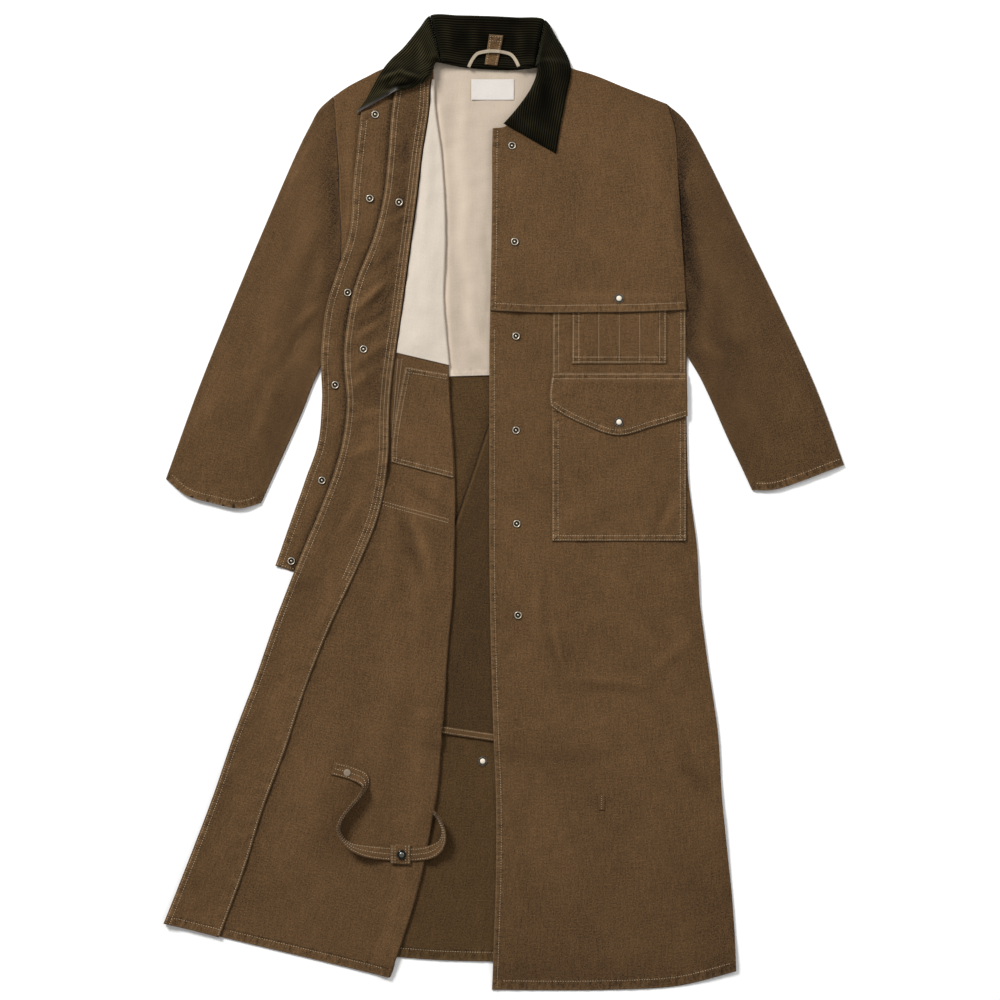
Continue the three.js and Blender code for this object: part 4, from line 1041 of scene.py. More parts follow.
# Storm yoke: a second layer of canvas over the shoulder and chest, free along its hem, which a cap snap
# holds down. Its front edge is sewn in one with the front's, with the same double rows.
yoke_section = 12
yoke_hem = [(-21, 288), (54, 285), (127, 285), (201, 286), (273, 289)]
yoke_folds = [((40, 520), (60, 330), 26, 1.0), ((210, 560), (236, 360), 24, 1.4), ((130, 600), (150, 420), 30, 0.9),
              ((250, 500), (262, 330), 14, 1.4), ((90, 420), (180, 330), 24, 0.7)]
last_section = len(left_front_sections) - 1
yoke_from = yoke_section / last_section
yoke_panel = Panel(part_of(left_edge, yoke_from, 1), part_of(left_side, yoke_from, 1), smooth_edge(yoke_hem),
                   smooth_edge(left_front_neck), step=4.2 * MM)


def yoke_relief(points):
    """The free hem lifts a little off the front below it."""
    away, along = beside(points, yoke_panel.lines["low"])
    return 1.3 * MM * np.exp(-away / (14 * MM)) * np.clip(along / (30 * MM), 0, 1)


# Painted shade: the yoke is darker beside its armhole and its neck, with painted light and shade on its folds.
yoke = lay("storm_yoke", yoke_panel, canvas, canvas_outside, "canvas_outside", "left_storm_yoke", seed=81,
           hems=[("left", front_edge_rows, 9), ("low", (11,), 12)],
           rolled=("left", "low", "high"), long_wave=0.4, folds=yoke_folds, relief=yoke_relief,
           shaded=[(yoke_panel.lines["right"], 26, -1.3), (yoke_panel.lines["high"], 24, -0.7)],
           rests_on=["left_front_panel"])
sew("storm_yoke_stitching", yoke, hem_rows(
    yoke_panel, ("left", front_edge_rows, 4, 4), ("low", (11,), 8, 4)))
set_fasteners("yoke_snap", cap_profile, pearl, "pearl_cap", "yoke_cap")
set_fasteners("left_front_snaps", ring_profile, snap_metal, "snap_metal",
              *(f"left_front_snap_{number}" for number in range(1, 7)))


# Right front: one panel folded back on itself along its lining, so that its lower layer shows its outside
# beside the armhole and its upper layer its inside, with the facing, lining and pocket on it.
right_sections = [
    {"side": (-181, -690), "fold": (-174, -711), "facing": (-427, -651), "edge": (-510, -630)},
    {"side": (-154, -603), "fold": (-138, -603), "facing": (-388, -545), "edge": (-469, -526)},
    {"side": (-135, -513), "fold": (-117, -513), "facing": (-361, -457), "edge": (-436, -439)},
    {"side": (-124, -421), "fold": (-102, -421), "facing": (-328, -369), "edge": (-406, -351)},
    {"side": (-120, -325), "fold": (-94, -325), "facing": (-298, -278), "edge": (-372, -261)},
    {"side": (-121, -228), "fold": (-87, -228), "facing": (-262, -187), "edge": (-340, -169)},
    {"side": (-126, -130), "fold": (-79, -130), "facing": (-220, -97), "edge": (-304, -78)},
    {"side": (-135, -40), "fold": (-76, -40), "facing": (-188, -16), "edge": (-270, 3)},
    {"side": (-156, 42), "fold": (-76, 42), "facing": (-174, 64), "edge": (-244, 81)},
    {"side": (-193, 117), "fold": (-80, 117), "facing": (-172, 137), "edge": (-235, 151)},
    {"side": (-234, 177), "fold": (-84, 169), "facing": (-168, 188), "edge": (-239, 204)},
    {"side": (-259, 234), "fold": (-85, 207), "facing": (-163, 225), "edge": (-238, 243)},
    {"side": (-249, 304), "fold": (-93, 297), "facing": (-151, 309), "edge": (-223, 324)},
    {"side": (-244, 387), "fold": (-91, 387), "facing": (-140, 392), "edge": (-195, 397)},
    {"side": (-247, 469), "fold": (-92, 459), "facing": (-131, 459), "edge": (-180, 459)},
    {"side": (-250, 537), "fold": (-97, 526), "facing": (-123, 525), "edge": (-173, 522)},
    {"side": (-253, 574), "fold": (-106, 592), "facing": (-113, 591), "edge": (-168, 585)},
    {"side": (-255, 610), "fold": (-108, 648), "facing": (-111, 634), "edge": (-161, 630)},
]
right_shoulder = [(-255, 610), (-231, 626), (-206, 639), (-178, 652), (-140, 656), (-108, 648)]
fold_height = 1.6
lower_folds = [((-232, 610), (-236, 300), 12, 1.2), ((-246, 560), (-244, 330), 7, -0.8)]
right_front_folds = [
    ((-150, -150), (-215, -560), 28, 2.0), ((-130, 20), (-120, -200), 18, 1.6), ((-230, -300), (-330, -560), 34, 1.6),
    ((-170, -20), (-190, -180), 16, 1.4), ((-110, -240), (-150, -620), 22, 1.2), ((-180, -420), (-260, -660), 26, -0.6),
    ((-96, -30), (-150, -10), 10, 1.0), ((-100, 60), (-112, -60), 12, 0.8), ((-151, 39), (-82, -21), 8, -1.1),
    ((-156, -21), (-116, -141), 11, -1.6), ((-140, -20), (-104, -120), 10, 1.2), ((-150, -34), (-126, -60), 6, -1.2),
    ((-170, -6), (-156, -60), 6, 1.0),
]

side_line, fold_line, facing_line, edge_line = (
    column(right_sections, name) for name in ("side", "fold", "facing", "edge"))
right_rows = spaced_shares([fold_line, edge_line], 5 * MM)
lower_panel = Panel(side_line, fold_line, None, smooth_edge(right_shoulder), step=6 * MM, along=right_rows)
upper_panel = Panel(edge_line, fold_line, along=right_rows, step=5 * MM)


def wall_on_pile(panel, open_sides, seed, relief=None, **unevenness):
    """Lower and upper side of a panel laid on the body's pile, rolled only at the sides that end the cloth."""
    flat = panel.points.reshape(-1, 2)
    bed, least = bed_under(body_pile, flat)
    bottom = np.maximum(bed + laid_cloth(flat, seed, **unevenness), least)
    if relief is not None:
        bottom += relief(flat)
    away = np.min([beside(flat, panel.lines[side])[0] for side in open_sides], axis=0)
    top = bottom + canvas * edge_roll(away, canvas)
    shape = (*panel.points.shape[:2], 3)
    return np.column_stack([flat, bottom]).reshape(shape), np.column_stack([flat, top]).reshape(shape)


lower_bottom, lower_top = wall_on_pile(lower_panel, ("low", "high"), 91, long_wave=0.3, folds=lower_folds)
add_to_pile(body_pile, lower_top)
np.maximum(body_pile, sleeve_piles["right"], out=body_pile)


# Fly strip: two layers of canvas sewn to the inside of the right front's edge, under its turned-back part.
# It carries the ring snaps that meet the left front's, and its double-stitched outer edge ropes as it dries.
fly_cloth = 2.3 * MM
fly_sections = [
    {"outer": (-343, -94), "inner": (-301, -108)},
    {"outer": (-322, -34), "inner": (-273, -37)},
    {"outer": (-297, 37), "inner": (-246, 37)},
    {"outer": (-279, 90), "inner": (-230, 90)},
    {"outer": (-273, 154), "inner": (-222, 154)},
    {"outer": (-274, 219), "inner": (-225, 219)},
    {"outer": (-267, 288), "inner": (-216, 292)},
    {"outer": (-252, 340), "inner": (-196, 349)},
    {"outer": (-232, 403), "inner": (-175, 415)},
    {"outer": (-225, 484), "inner": (-163, 484)},
    {"outer": (-219, 540), "inner": (-159, 540)},
    {"outer": (-214, 586), "inner": (-156, 604)},
]
fly_rows = (3, 10)
fly_panel = Panel(column(fly_sections, "outer"), column(fly_sections, "inner"), step=3.6 * MM)


def fly_relief(points):
    """The strip's outer edge stands up where it ropes, and its middle dips."""
    away, along = beside(points, fly_panel.lines["left"])
    rope = 1 + 0.5 * np.cos(along * math.tau / 0.083 + 1) + 0.4 * np.cos(along * math.tau / 0.047)
    return 1.3 * MM * rope * np.exp(-away / (9 * MM))


# Painted shadow: a dark line and a softer dark band on the strip beside the turned-back front edge above it.
fly_strip = lay("fly_strip", fly_panel, fly_cloth, canvas_outside, "canvas_outside", "right_fly_strip", seed=93,
                hems=[("left", fly_rows, 11), ("low", (4,), 6)], long_wave=0.4, crumple=0.2, relief=fly_relief,
                shaded=[(upper_panel.lines["left"] - [2 * MM, 0], 3, -4), (upper_panel.lines["left"], 13, -1.4)],
                rests_on=["right_front_panel", "right_sleeve"])
sew("fly_strip_stitching", fly_strip, hem_rows(fly_panel, ("left", fly_rows, 3, 12), ("low", (4,), 3, 3)))
set_fasteners("fly_strip_snaps", ring_profile, snap_metal, "snap_metal",
              *(f"fly_strip_snap_{number}" for number in range(1, 7)))


# The turned-back layer of the right front, joined to its lower layer round the fold.
def turned_back_relief(points):
    """The cloth rises to its fold, and its front edge stands off the fly strip below it."""
    from_fold = beside(points, upper_panel.lines["right"])[0]
    from_edge, along = beside(points, upper_panel.lines["left"])
    rope = 1 + 0.35 * np.cos(along * math.tau / 0.11) + 0.3 * np.cos(along * math.tau / 0.052 + 2)
    below_waist = 1 / (1 + np.exp((points[:, 1] - 180 * MM) / (30 * MM)))
    fold_rise = fold_height * (0.05 + 0.95 * below_waist) * np.exp(-from_fold / (16 * MM))
    return (fold_rise + 2.8 * rope * np.exp(-from_edge / (12 * MM))) * MM


upper_bottom, upper_top = wall_on_pile(upper_panel, ("left", "low", "high"), 95, relief=turned_back_relief,
                                       long_wave=0.5, folds=right_front_folds)
hem_relief, hem_wear, hem_seam = sewn_edge(
    upper_panel.points.reshape(-1, 2), upper_panel.lines["low"], (12,), 13, 96, inside_fold)
upper_top[..., 2] += hem_relief.reshape(upper_top.shape[:2])
upper_bottom, upper_top = upper_bottom[:, ::-1], upper_top[:, ::-1]
fold_low, fold_high = lower_bottom[:, -1, 2], upper_top[:, 0, 2]
fold_middle, fold_radius = (fold_low + fold_high) / 2, (fold_high - fold_low) / 2


def round_the_fold(radius, angles, line=None, middle=None):
    """Points round the fold, each row an arc of its own radius."""
    line = fold_line(right_rows) if line is None else line
    middle = fold_middle if middle is None else middle
    turn = np.radians(angles)
    x = line[:, :1] + radius[:, None] * np.cos(turn)
    z = middle[:, None] + radius[:, None] * np.sin(turn)
    return np.stack([x, np.broadcast_to(line[:, 1:], x.shape), z], -1)


around = np.linspace(-90, 90, 15)
front_outside = np.concatenate([lower_bottom[:, :-1], round_the_fold(fold_radius, around), upper_top[:, 1:]], 1)
front_inside = np.concatenate([
    lower_top[:, :-1], round_the_fold(fold_radius - canvas, around), upper_bottom[:, 1:]], 1)
front_wear = np.zeros(front_outside.shape[:2])
front_wear[:, -upper_top.shape[1]:] = hem_wear.reshape(upper_top.shape[:2])[:, ::-1]
front_seam = np.zeros((*front_outside.shape[:2], 3))
front_seam[:, -upper_top.shape[1]:] = hem_seam.reshape(upper_top.shape)[:, ::-1]
# Painted light and shade of the right front: on its turned-back layer a dark band beside the facing and a dark line
# above the hem; on its lower layer a pale line along its side and a dark band beside the fly strip; on both, painted
# light and shade on their folds.
front_painted_shading = np.zeros(front_outside.shape[:2])
front_painted_shading[:, -upper_top.shape[1]:] = shade(
    upper_panel.points.reshape(-1, 2), right_front_folds, 95,
    [(facing_line(np.linspace(0, 1, 80)), 12, -1.6), (upper_panel.lines["low"] + [0, 14 * MM], 1.5, -5)]).reshape(upper_top.shape[:2])[:, ::-1]
front_painted_shading[:, :lower_top.shape[1]] = shade(
    lower_panel.points.reshape(-1, 2), lower_folds, 91,
    [(lower_panel.lines["left"], 2.5, 2), (fly_panel.lines["left"], 10, -1.4)]).reshape(lower_top.shape[:2])
right_front = shell("right_front_panel", front_outside, front_inside, canvas_outside, wear=front_wear,
                    seam=front_seam, painted_shading=front_painted_shading)
add_to_pile(body_pile, front_outside[:, lower_bottom.shape[1] + 5:])
finish_cloth(right_front, (front_outside + front_inside) / 2, "canvas_outside", "right_front", held="folded",
             rests_on=["back_panel"])
sew("right_front_stitching", right_front, [
    *hem_rows(upper_panel, ("low", (12,), 100, 12)),
    straight_row((-181, 2), (-84, -24)), straight_row((-181, -3), (-85, -29)),
    straight_row((-159, 214), (-168, 100)), straight_row((-153, 215), (-164, 120)),
])


# Lining of the right front: the same pale cotton from the waist up, painted lighter than the back's as painted light.
# It wraps round the fold, so the bright cloth ends in a soft roll beside the lining of the back.
waist_section = 11
lining_from, lining_to = waist_section / (len(right_sections) - 1), 0.985
front_lining_folds = [((-112, 560), (-122, 330), 10, 1.2), ((-104, 420), (-112, 230), 12, 1.0),
                      ((-150, 260), (-110, 225), 12, 0.7), ((-136, 380), (-128, 240), 10, 0.9)]
front_lining_panel = Panel(part_of(moved_across(facing_line, 2 * MM), lining_from, lining_to),
                           part_of(fold_line, lining_from, lining_to), step=4 * MM)
flat_lining = front_lining_panel.points.reshape(-1, 2)
lining_bed, lining_least = bed_under(body_pile, flat_lining, 4 * MM)
lining_bottom = np.maximum(lining_bed + laid_cloth(flat_lining, 101, 0.2, 0.12, front_lining_folds), lining_least)
hem_away = beside(flat_lining, front_lining_panel.lines["low"])[0]
lining_top = lining_bottom + lining_cloth * edge_roll(hem_away, lining_cloth)
lining_shape = (*front_lining_panel.points.shape[:2], 3)
lining_low = np.column_stack([flat_lining, lining_bottom]).reshape(lining_shape)
lining_high = np.column_stack([flat_lining, lining_top]).reshape(lining_shape)
lining_rows = lining_from + (lining_to - lining_from) * front_lining_panel.along
middles, radii = (np.interp(lining_rows, right_rows, value) for value in (fold_middle, fold_radius))
radii = lining_low[:, -1, 2] - middles
roll_angles = np.linspace(90, -25, 12)
lining_low = np.concatenate([lining_low[:, :-1], round_the_fold(radii, roll_angles, fold_line(lining_rows), middles)], 1)
lining_high = np.concatenate([lining_high[:, :-1], round_the_fold(
    radii + lining_cloth, roll_angles, fold_line(lining_rows), middles)], 1)
bright_lining = woven_cloth("bright_lining", (0.53, 0.465, 0.39), (0.72, 0.66, 0.58), streak=0.05, grain=0.2,
                            mottle=0.08, roughness=0.85, relief=0.15, pitch=0.5, puckered=0.3)
front_lining = shell("right_front_lining_upper", lining_high, lining_low, bright_lining)
add_to_pile(body_pile, lining_high)
finish_cloth(front_lining, lining_low, "lining", "right_front_lining", held="folded",
             rests_on=["right_front_panel"])


# Inside pocket of the right front: a canvas patch with a slanted mouth beside the facing, double-sewn.
inside_pocket_sections = [
    {"left": (-169, 61), "right": (-75.5, 37)},
    {"left": (-168, 91), "right": (-77, 79)},
    {"left": (-160, 145), "right": (-81, 136)},
    {"left": (-148, 204), "right": (-84, 193)},
]
inside_pocket_panel = Panel(column(inside_pocket_sections, "left"), column(inside_pocket_sections, "right"),
                            step=4 * MM)
inside_pocket = lay("inside_pocket", inside_pocket_panel, canvas, canvas_outside, "canvas_inside",
                    "right_inside_pocket", seed=103, hems=[("left", (2.5, 8), 9), ("low", (2, 7.5), 8.5),
                                                           ("high", (2, 7.5), 8.5)],
                    long_wave=0.3, rolled=("left", "low", "high"), rests_on=["right_front_panel"])
sew("inside_pocket_stitching", inside_pocket, hem_rows(
    inside_pocket_panel, ("left", (2.5, 8), 3, 3), ("low", (2, 7.5), 3, 1), ("high", (2, 7.5), 3, 1)))


# Facing of the right front: a long strip of canvas on the inside of its front edge. It is felled to the edge
# with two rows and along its inner side with three down to a bar tack; it creases where the edge bends.
facing_folds = [
    ((-166, 345), (-221, 285), 7, 2.4), ((-161, 384), (-208, 345), 8, -1.8), ((-171, 294), (-216, 259), 6, -1.7),
    ((-150, 470), (-166, 430), 9, -1.2), ((-148, 440), (-172, 415), 7, 1.0), ((-144, 500), (-158, 540), 9, -1.0),
    ((-166, 236), (-190, 215), 6, -1.4), ((-160, 330), (-180, 300), 6, -1.2),
    ((-146, 560), (-160, 400), 13, -1.1), ((-160, 420), (-192, 250), 15, -1.2),
    ((-181, 279), (-222, 240), 6, 1.3), ((-170, 250), (-226, 196), 9, 1.5), ((-186, 200), (-234, 166), 8, 1.2),
    ((-160, 420), (-176, 350), 9, 1.0), ((-150, 560), (-156, 430), 14, 1.2), ((-196, 130), (-206, 30), 12, 1.0),
    ((-216, 10), (-250, -60), 11, 1.1), ((-262, -110), (-290, -210), 14, 0.9), ((-320, -260), (-350, -340), 14, 1.0),
    ((-372, -420), (-420, -560), 18, 1.0), ((-178, 140), (-228, 120), 8, 1.0), ((-190, 86), (-232, 62), 8, 0.9),
]
facing_panel = Panel(edge_line, facing_line, step=4.2 * MM)
edge_rows, facing_rows, tack_from_hem = (3, 9), (2.5, 8, 13.5), 570


def facing_relief(points):
    """Both sewn sides of the facing rope up into ridges, with a soft hollow between them."""
    from_edge, along_edge = beside(points, facing_panel.lines["left"])
    from_side, along_side = beside(points, facing_panel.lines["right"])
    edge_rope = 1 + 0.4 * np.cos(along_edge * math.tau / 0.071) + 0.35 * np.cos(along_edge * math.tau / 0.033)
    side_rope = 1 + 0.4 * np.cos(along_side * math.tau / 0.063 + 1) + 0.3 * np.cos(along_side * math.tau / 0.029)
    return (0.7 * edge_rope * np.exp(-from_edge / (7 * MM)) + 0.9 * side_rope * np.exp(-from_side / (9 * MM))) * MM


# Painted shadow and light: a dark line along the front edge with a pale line inside it, a broad dark band over the
# chest, a dark line above the hem, and painted light and shade on its creases.
facing = lay("right_facing_strip", facing_panel, canvas, canvas_outside, "canvas_inside", "right_facing", seed=107,
             hems=[("left", edge_rows, 10.5), ("right", facing_rows, 15), ("low", (12,), 13, inside_fold)],
             long_wave=0.35,
             crumple=0.2, folds=facing_folds, relief=facing_relief, rests_on=["right_front_panel"],
             shaded=[(facing_panel.lines["left"], 1, -9), (facing_panel.lines["left"] + [2.6 * MM, 0], 1.5, 4.5),
                     (facing_line(np.linspace(0.55, 1, 50)) - [22 * MM, 0], 18, -2.6),
                     (facing_panel.lines["low"] + [0, 14 * MM], 1.5, -4)])
facing_seam = facing.data.attributes["seam"].data
sewn_places, corners = np.empty(len(facing_seam) * 3), np.empty(len(facing_seam) * 3)
facing_seam.foreach_get("vector", sewn_places)
facing.data.vertices.foreach_get("co", corners)
from_side, from_hem = beside(corners.reshape(-1, 3)[:, :2], facing_panel.lines["right"])
one_row = (from_hem < tack_from_hem * MM) & (from_side > 4.5 * MM) & (from_side < 20 * MM)
sewn_places[2::3] *= ~one_row
facing_seam.foreach_set("vector", sewn_places)
sew("facing_stitching", facing, hem_rows(
    facing_panel, ("left", edge_rows, 4, 4), ("right", facing_rows[:1], 4, 4),
    ("right", facing_rows[1:], tack_from_hem, 4), ("low", (12,), 14, 3)))
set_fasteners("facing_snaps", ring_profile, snap_metal, "snap_metal", "facing_snap_1", "facing_snap_2")


# Leg strap: a narrow band of doubled canvas sewn with lengthwise rows. It comes out from under the fold,
# lies flat through its keeper, then stands on its edge in a loop and ends in a tab with a ring snap.
strap_width, strap_cloth = 20 * MM, 2.2 * MM
strap_route = [
    ((-106, -460), 74), ((-96, -475), 78), ((-90, -492), 78), ((-93, -509), 62), ((-105, -520), 24),
    ((-125, -525), 0), ((-154, -526), 0), ((-180, -525), 5), ((-208, -521), 38), ((-231, -513), 74),
    ((-243, -501), 83), ((-248, -487), 84), ((-243, -472), 84), ((-231, -456), 84), ((-216, -438), 82),
    ((-208, -423), 70), ((-211, -413), 20), ((-228, -405), 0), ((-257, -397), 0),
]


def lay_strap(name, node, route, width, thickness, material, stitch_offsets=(), step=2.5 * MM):
    """Lays a flat strap along a route, leaning on its edge by the angle at each stop."""
    path = smooth_edge([stop for stop, _ in route])
    shares = np.linspace(0, 1, 400)
    run = np.concatenate([[0], np.cumsum(np.linalg.norm(np.diff(path(shares), axis=0), axis=1))])
    shares = np.interp(np.linspace(0, run[-1], math.ceil(run[-1] / step)), run, shares)
    line = path(shares)
    lean = np.radians(np.interp(shares * (len(route) - 1), range(len(route)), [angle for _, angle in route]))
    ahead = np.gradient(line, axis=0)
    ahead /= np.linalg.norm(ahead, axis=1)[:, None]
    across = np.column_stack([-ahead[:, 1] * np.cos(lean), ahead[:, 0] * np.cos(lean), np.sin(lean)])
    thick = np.cross(np.column_stack([ahead, np.zeros(len(ahead))]), across)
    reach = width / 2 * np.cos(lean)
    seats = [height_at(body_pile, line + across[:, :2] / np.maximum(np.cos(lean), 0.2)[:, None] * (share * reach)[:, None])
             for share in np.linspace(-1, 1, 9)]
    seat = np.max(seats, axis=0)
    seat = np.maximum(seat, np.convolve(np.pad(seat, 4, "edge"), np.ones(9) / 9, "valid"))
    middle = np.column_stack([line, seat + gap + width / 2 * np.sin(lean) + thickness / 2 * np.cos(lean)])
    places = np.array([-1, -0.97, -0.9, -0.72, -0.5, -0.25, 0, 0.25, 0.5, 0.72, 0.9, 0.97, 1])
    full = edge_roll((1 - np.abs(places)) * width / 2, thickness / 2)
    for offset in stitch_offsets:
        full = full - 0.16 * np.exp(-((places - 2 * offset * MM / width) / 0.07) ** 2)
    face = middle[:, None] + across[:, None] * (places * width / 2)[None, :, None]
    half = thick[:, None] * (thickness / 2 * full)[None, :, None]
    ends = edge_roll(np.minimum(run[-1] - np.linspace(0, run[-1], len(line)), np.linspace(0, run[-1], len(line))),
                     thickness / 2)[:, None, None]
    piece = shell(name, face + half * ends, face - half * ends, material)
    add_to_pile(body_pile, face + half)
    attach(piece, "root")
    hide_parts(node)
    rows = [middle + across * offset * MM + thick * side * thickness * 0.5
            for offset in stitch_offsets for side in (-1, 1)]
    if rows:
        stitched(f"{name}_stitching", [row[2:-2] for row in rows])


lay_strap("leg_strap_band", "leg_strap", strap_route, strap_width, strap_cloth, canvas_outside,
          stitch_offsets=(-7.5, 0, 7.5))
keeper_panel = upright_panel("leg_strap_keeper", step=3 * MM)
keeper = lay("strap_keeper", keeper_panel, canvas, canvas_outside, "canvas_outside", "leg_strap_keeper", seed=113,
             hems=[("left", (2.5, 7), 8), ("right", (2.5, 7), 8)], long_wave=0.1, drape=3 * MM,
             rests_on=["leg_strap_band"])
sew("strap_keeper_stitching", keeper, hem_rows(keeper_panel, ("left", (2.5, 7), 3, 3), ("right", (2.5, 7), 3, 3)))
set_fasteners("keeper_snap", cap_profile, dark_cap_metal, "snap_metal", "leg_strap_keeper_snap")
disc_profile = [(0, 0.9, 0.75), (2.2, 0.9, 0.7), (4.2, 0.85, 0.75), (5.2, 0.7, 0.6), (5.7, 0.3, 0), (5.6, 0, 0), (0, 0, 0)]
dull_metal = fastener_metal("dull_stud", (0.30, 0.235, 0.165), (0.03, 0.02, 0.012), 0.6, 0.3, 0.2)
set_fasteners("strap_end_snap", disc_profile, dull_metal, "snap_metal", "leg_strap_end_snap")


# Collar: dark corduroy with a short pile, its wales along its length. It stands behind the neck and rolls
# over into two pointed falls; each part is full at its roll and thin at its free edges.
# corduroy_light is the top colour of the ramp, reached on the wales as a painted highlight
corduroy_dark, corduroy_light = (0.002, 0.0016, 0.0009), (0.043, 0.036, 0.0165)
wale_pitch, wale_height = 3.6 * MM, 1.0 * MM
collar_sections = [
    {"outer": (-222, 583), "neck": (-162, 618), "heights": (3, 6)},
    {"outer": (-208, 603), "neck": (-145, 619), "heights": (3, 8)},
    {"outer": (-186, 643), "neck": (-126, 626), "heights": (3, 11)},
    {"outer": (-171, 664), "neck": (-111, 636), "heights": (4, 14)},
    {"outer": (-151, 683), "neck": (-106, 648), "heights": (6, 17)},
    {"outer": (-127, 712), "neck": (-102, 660), "heights": (14, 19)},
    {"outer": (-111, 730), "neck": (-94, 659), "heights": (24, 19)},
    {"outer": (-66, 730), "neck": (-60, 652.5), "heights": (27, 6)},
    {"outer": (-24, 729), "neck": (-25, 649.5), "heights": (27, 5)},
    {"outer": (18, 727), "neck": (12, 648.5), "heights": (27, 6)},
    {"outer": (61, 724), "neck": (46, 651.5), "heights": (24, 19)},
    {"outer": (78, 700), "neck": (49, 652), "heights": (12, 19)},
    {"outer": (100, 655), "neck": (48, 640), "heights": (4, 15)},
    {"outer": (93, 607), "neck": (39, 619), "heights": (3, 11)},
    {"outer": (85, 565), "neck": (19, 591), "heights": (3, 8)},
    {"outer": (78, 523), "neck": (-1, 568), "heights": (3, 5)},
]
# Each part's nap sets how bright its wales are painted: painted light on the fall that faces the light, painted shade
# on the others.
collar_parts = [
    {"name": "collar_right_fall", "from": 0, "to": 6, "crown": 2, "nap": 1.1, "seed": 121, "folds": [
        ((-184, 634), (-152, 645), 4, 3.1), ((-156, 645), (-124, 634), 4, 3.1), ((-176, 621), (-134, 627), 4.5, -3.1),
        ((-152, 621), (-124, 624), 4, 1.2), ((-198, 608), (-160, 621), 6, 1.0), ((-130, 690), (-118, 648), 8, 1.0),
        ((-170, 655), (-130, 664), 8, -0.9)]},
    {"name": "collar_back", "from": 6, "to": 10, "crown": -3, "nap": 0.46, "seed": 123, "folds": [
        ((-46, 716), (-42, 676), 9, 1.6), ((24, 708), (30, 668), 9, 1.4), ((-88, 716), (-80, 668), 8, 0.9)]},
    {"name": "collar_left_fall", "from": 10, "to": 15, "crown": 2, "nap": 0.56, "seed": 125, "folds": [
        ((70, 700), (84, 560), 14, 1.5), ((52, 640), (40, 590), 10, 1.4), ((20, 570), (70, 545), 12, 0.8)]},
]


def corduroy_cloth():
    """Short cotton pile: nearly black between the wales and olive on them as a painted highlight, brighter and darker
    as the painted nap shading says, with rubbed edges.
    """
    material = bpy.data.materials.new("dark_corduroy")
    material.use_nodes = True
    nodes, links = material.node_tree.nodes, material.node_tree.links
    shader = nodes["Principled BSDF"]
    shader.inputs["Roughness"].default_value = 0.95
    shader.inputs["Specular IOR Level"].default_value = 0.03
    shader.inputs["Sheen Weight"].default_value = 0.05
    shader.inputs["Sheen Roughness"].default_value = 0.45
    shader.inputs["Sheen Tint"].default_value = (0.75, 0.8, 0.45, 1)
    place = nodes.new("ShaderNodeTexCoord")
    brushed, pile_grain = nodes.new("ShaderNodeTexNoise"), nodes.new("ShaderNodeTexNoise")
    brushed.inputs["Scale"].default_value, brushed.inputs["Detail"].default_value = 26, 4
    pile_grain.inputs["Scale"].default_value, pile_grain.inputs["Detail"].default_value = 900, 2
    for texture in (brushed, pile_grain):
        links.new(place.outputs["Object"], texture.inputs["Vector"])
    wale = nodes.new("ShaderNodeAttribute")
    wale.attribute_name = "wale_depth"
    nap = nodes.new("ShaderNodeAttribute")
    nap.attribute_name = "nap"
    across_wales = nodes.new("ShaderNodeMath")
    across_wales.operation = "MULTIPLY"
    across_wales.inputs[1].default_value = math.tau / wale_pitch
    links.new(wale.outputs["Fac"], across_wales.inputs[0])
    rib = nodes.new("ShaderNodeMath")
    rib.operation = "COSINE"
    links.new(across_wales.outputs[0], rib.inputs[0])
    ribs = nodes.new("ShaderNodeMath")
    ribs.operation = "MULTIPLY_ADD"
    ribs.inputs[1].default_value, ribs.inputs[2].default_value = 0.48, 0.52
    links.new(rib.outputs[0], ribs.inputs[0])
    napped = nodes.new("ShaderNodeMath")
    napped.operation = "MULTIPLY"
    links.new(ribs.outputs[0], napped.inputs[0])
    links.new(nap.outputs["Fac"], napped.inputs[1])
    tone = nodes.new("ShaderNodeMath")
    tone.operation = "MULTIPLY"
    links.new(brushed.outputs["Fac"], tone.inputs[0])
    links.new(napped.outputs[0], tone.inputs[1])
    ramp = nodes.new("ShaderNodeValToRGB")
    ramp.color_ramp.elements[0].position, ramp.color_ramp.elements[1].position = 0.08, 0.75
    ramp.color_ramp.elements[0].color = (*corduroy_dark, 1)
    ramp.color_ramp.elements[1].color = (*corduroy_light, 1)
    links.new(tone.outputs[0], ramp.inputs["Fac"])
    wear = nodes.new("ShaderNodeAttribute")
    wear.attribute_name = "wear"
    mix = nodes.new("ShaderNodeMix")
    mix.data_type = "RGBA"
    links.new(wear.outputs["Fac"], mix.inputs["Factor"])
    links.new(ramp.outputs["Color"], mix.inputs["A"])
    mix.inputs["B"].default_value = (0.34, 0.32, 0.33, 1)
    links.new(mix.outputs["Result"], shader.inputs["Base Color"])
    bump = nodes.new("ShaderNodeBump")
    bump.inputs["Strength"].default_value, bump.inputs["Distance"].default_value = 0.5, 0.4 * MM
    links.new(pile_grain.outputs["Fac"], bump.inputs["Height"])
    wale_bump = nodes.new("ShaderNodeBump")
    wale_bump.inputs["Distance"].default_value = wale_height
    links.new(ribs.outputs[0], wale_bump.inputs["Height"])
    links.new(bump.outputs["Normal"], wale_bump.inputs["Normal"])
    links.new(wale_bump.outputs["Normal"], shader.inputs["Normal"])
    return material


corduroy = corduroy_cloth()
collar_outer, collar_neck = column(collar_sections, "outer"), column(collar_sections, "neck")
collar_last = len(collar_sections) - 1
collar_bed = body_pile.copy()


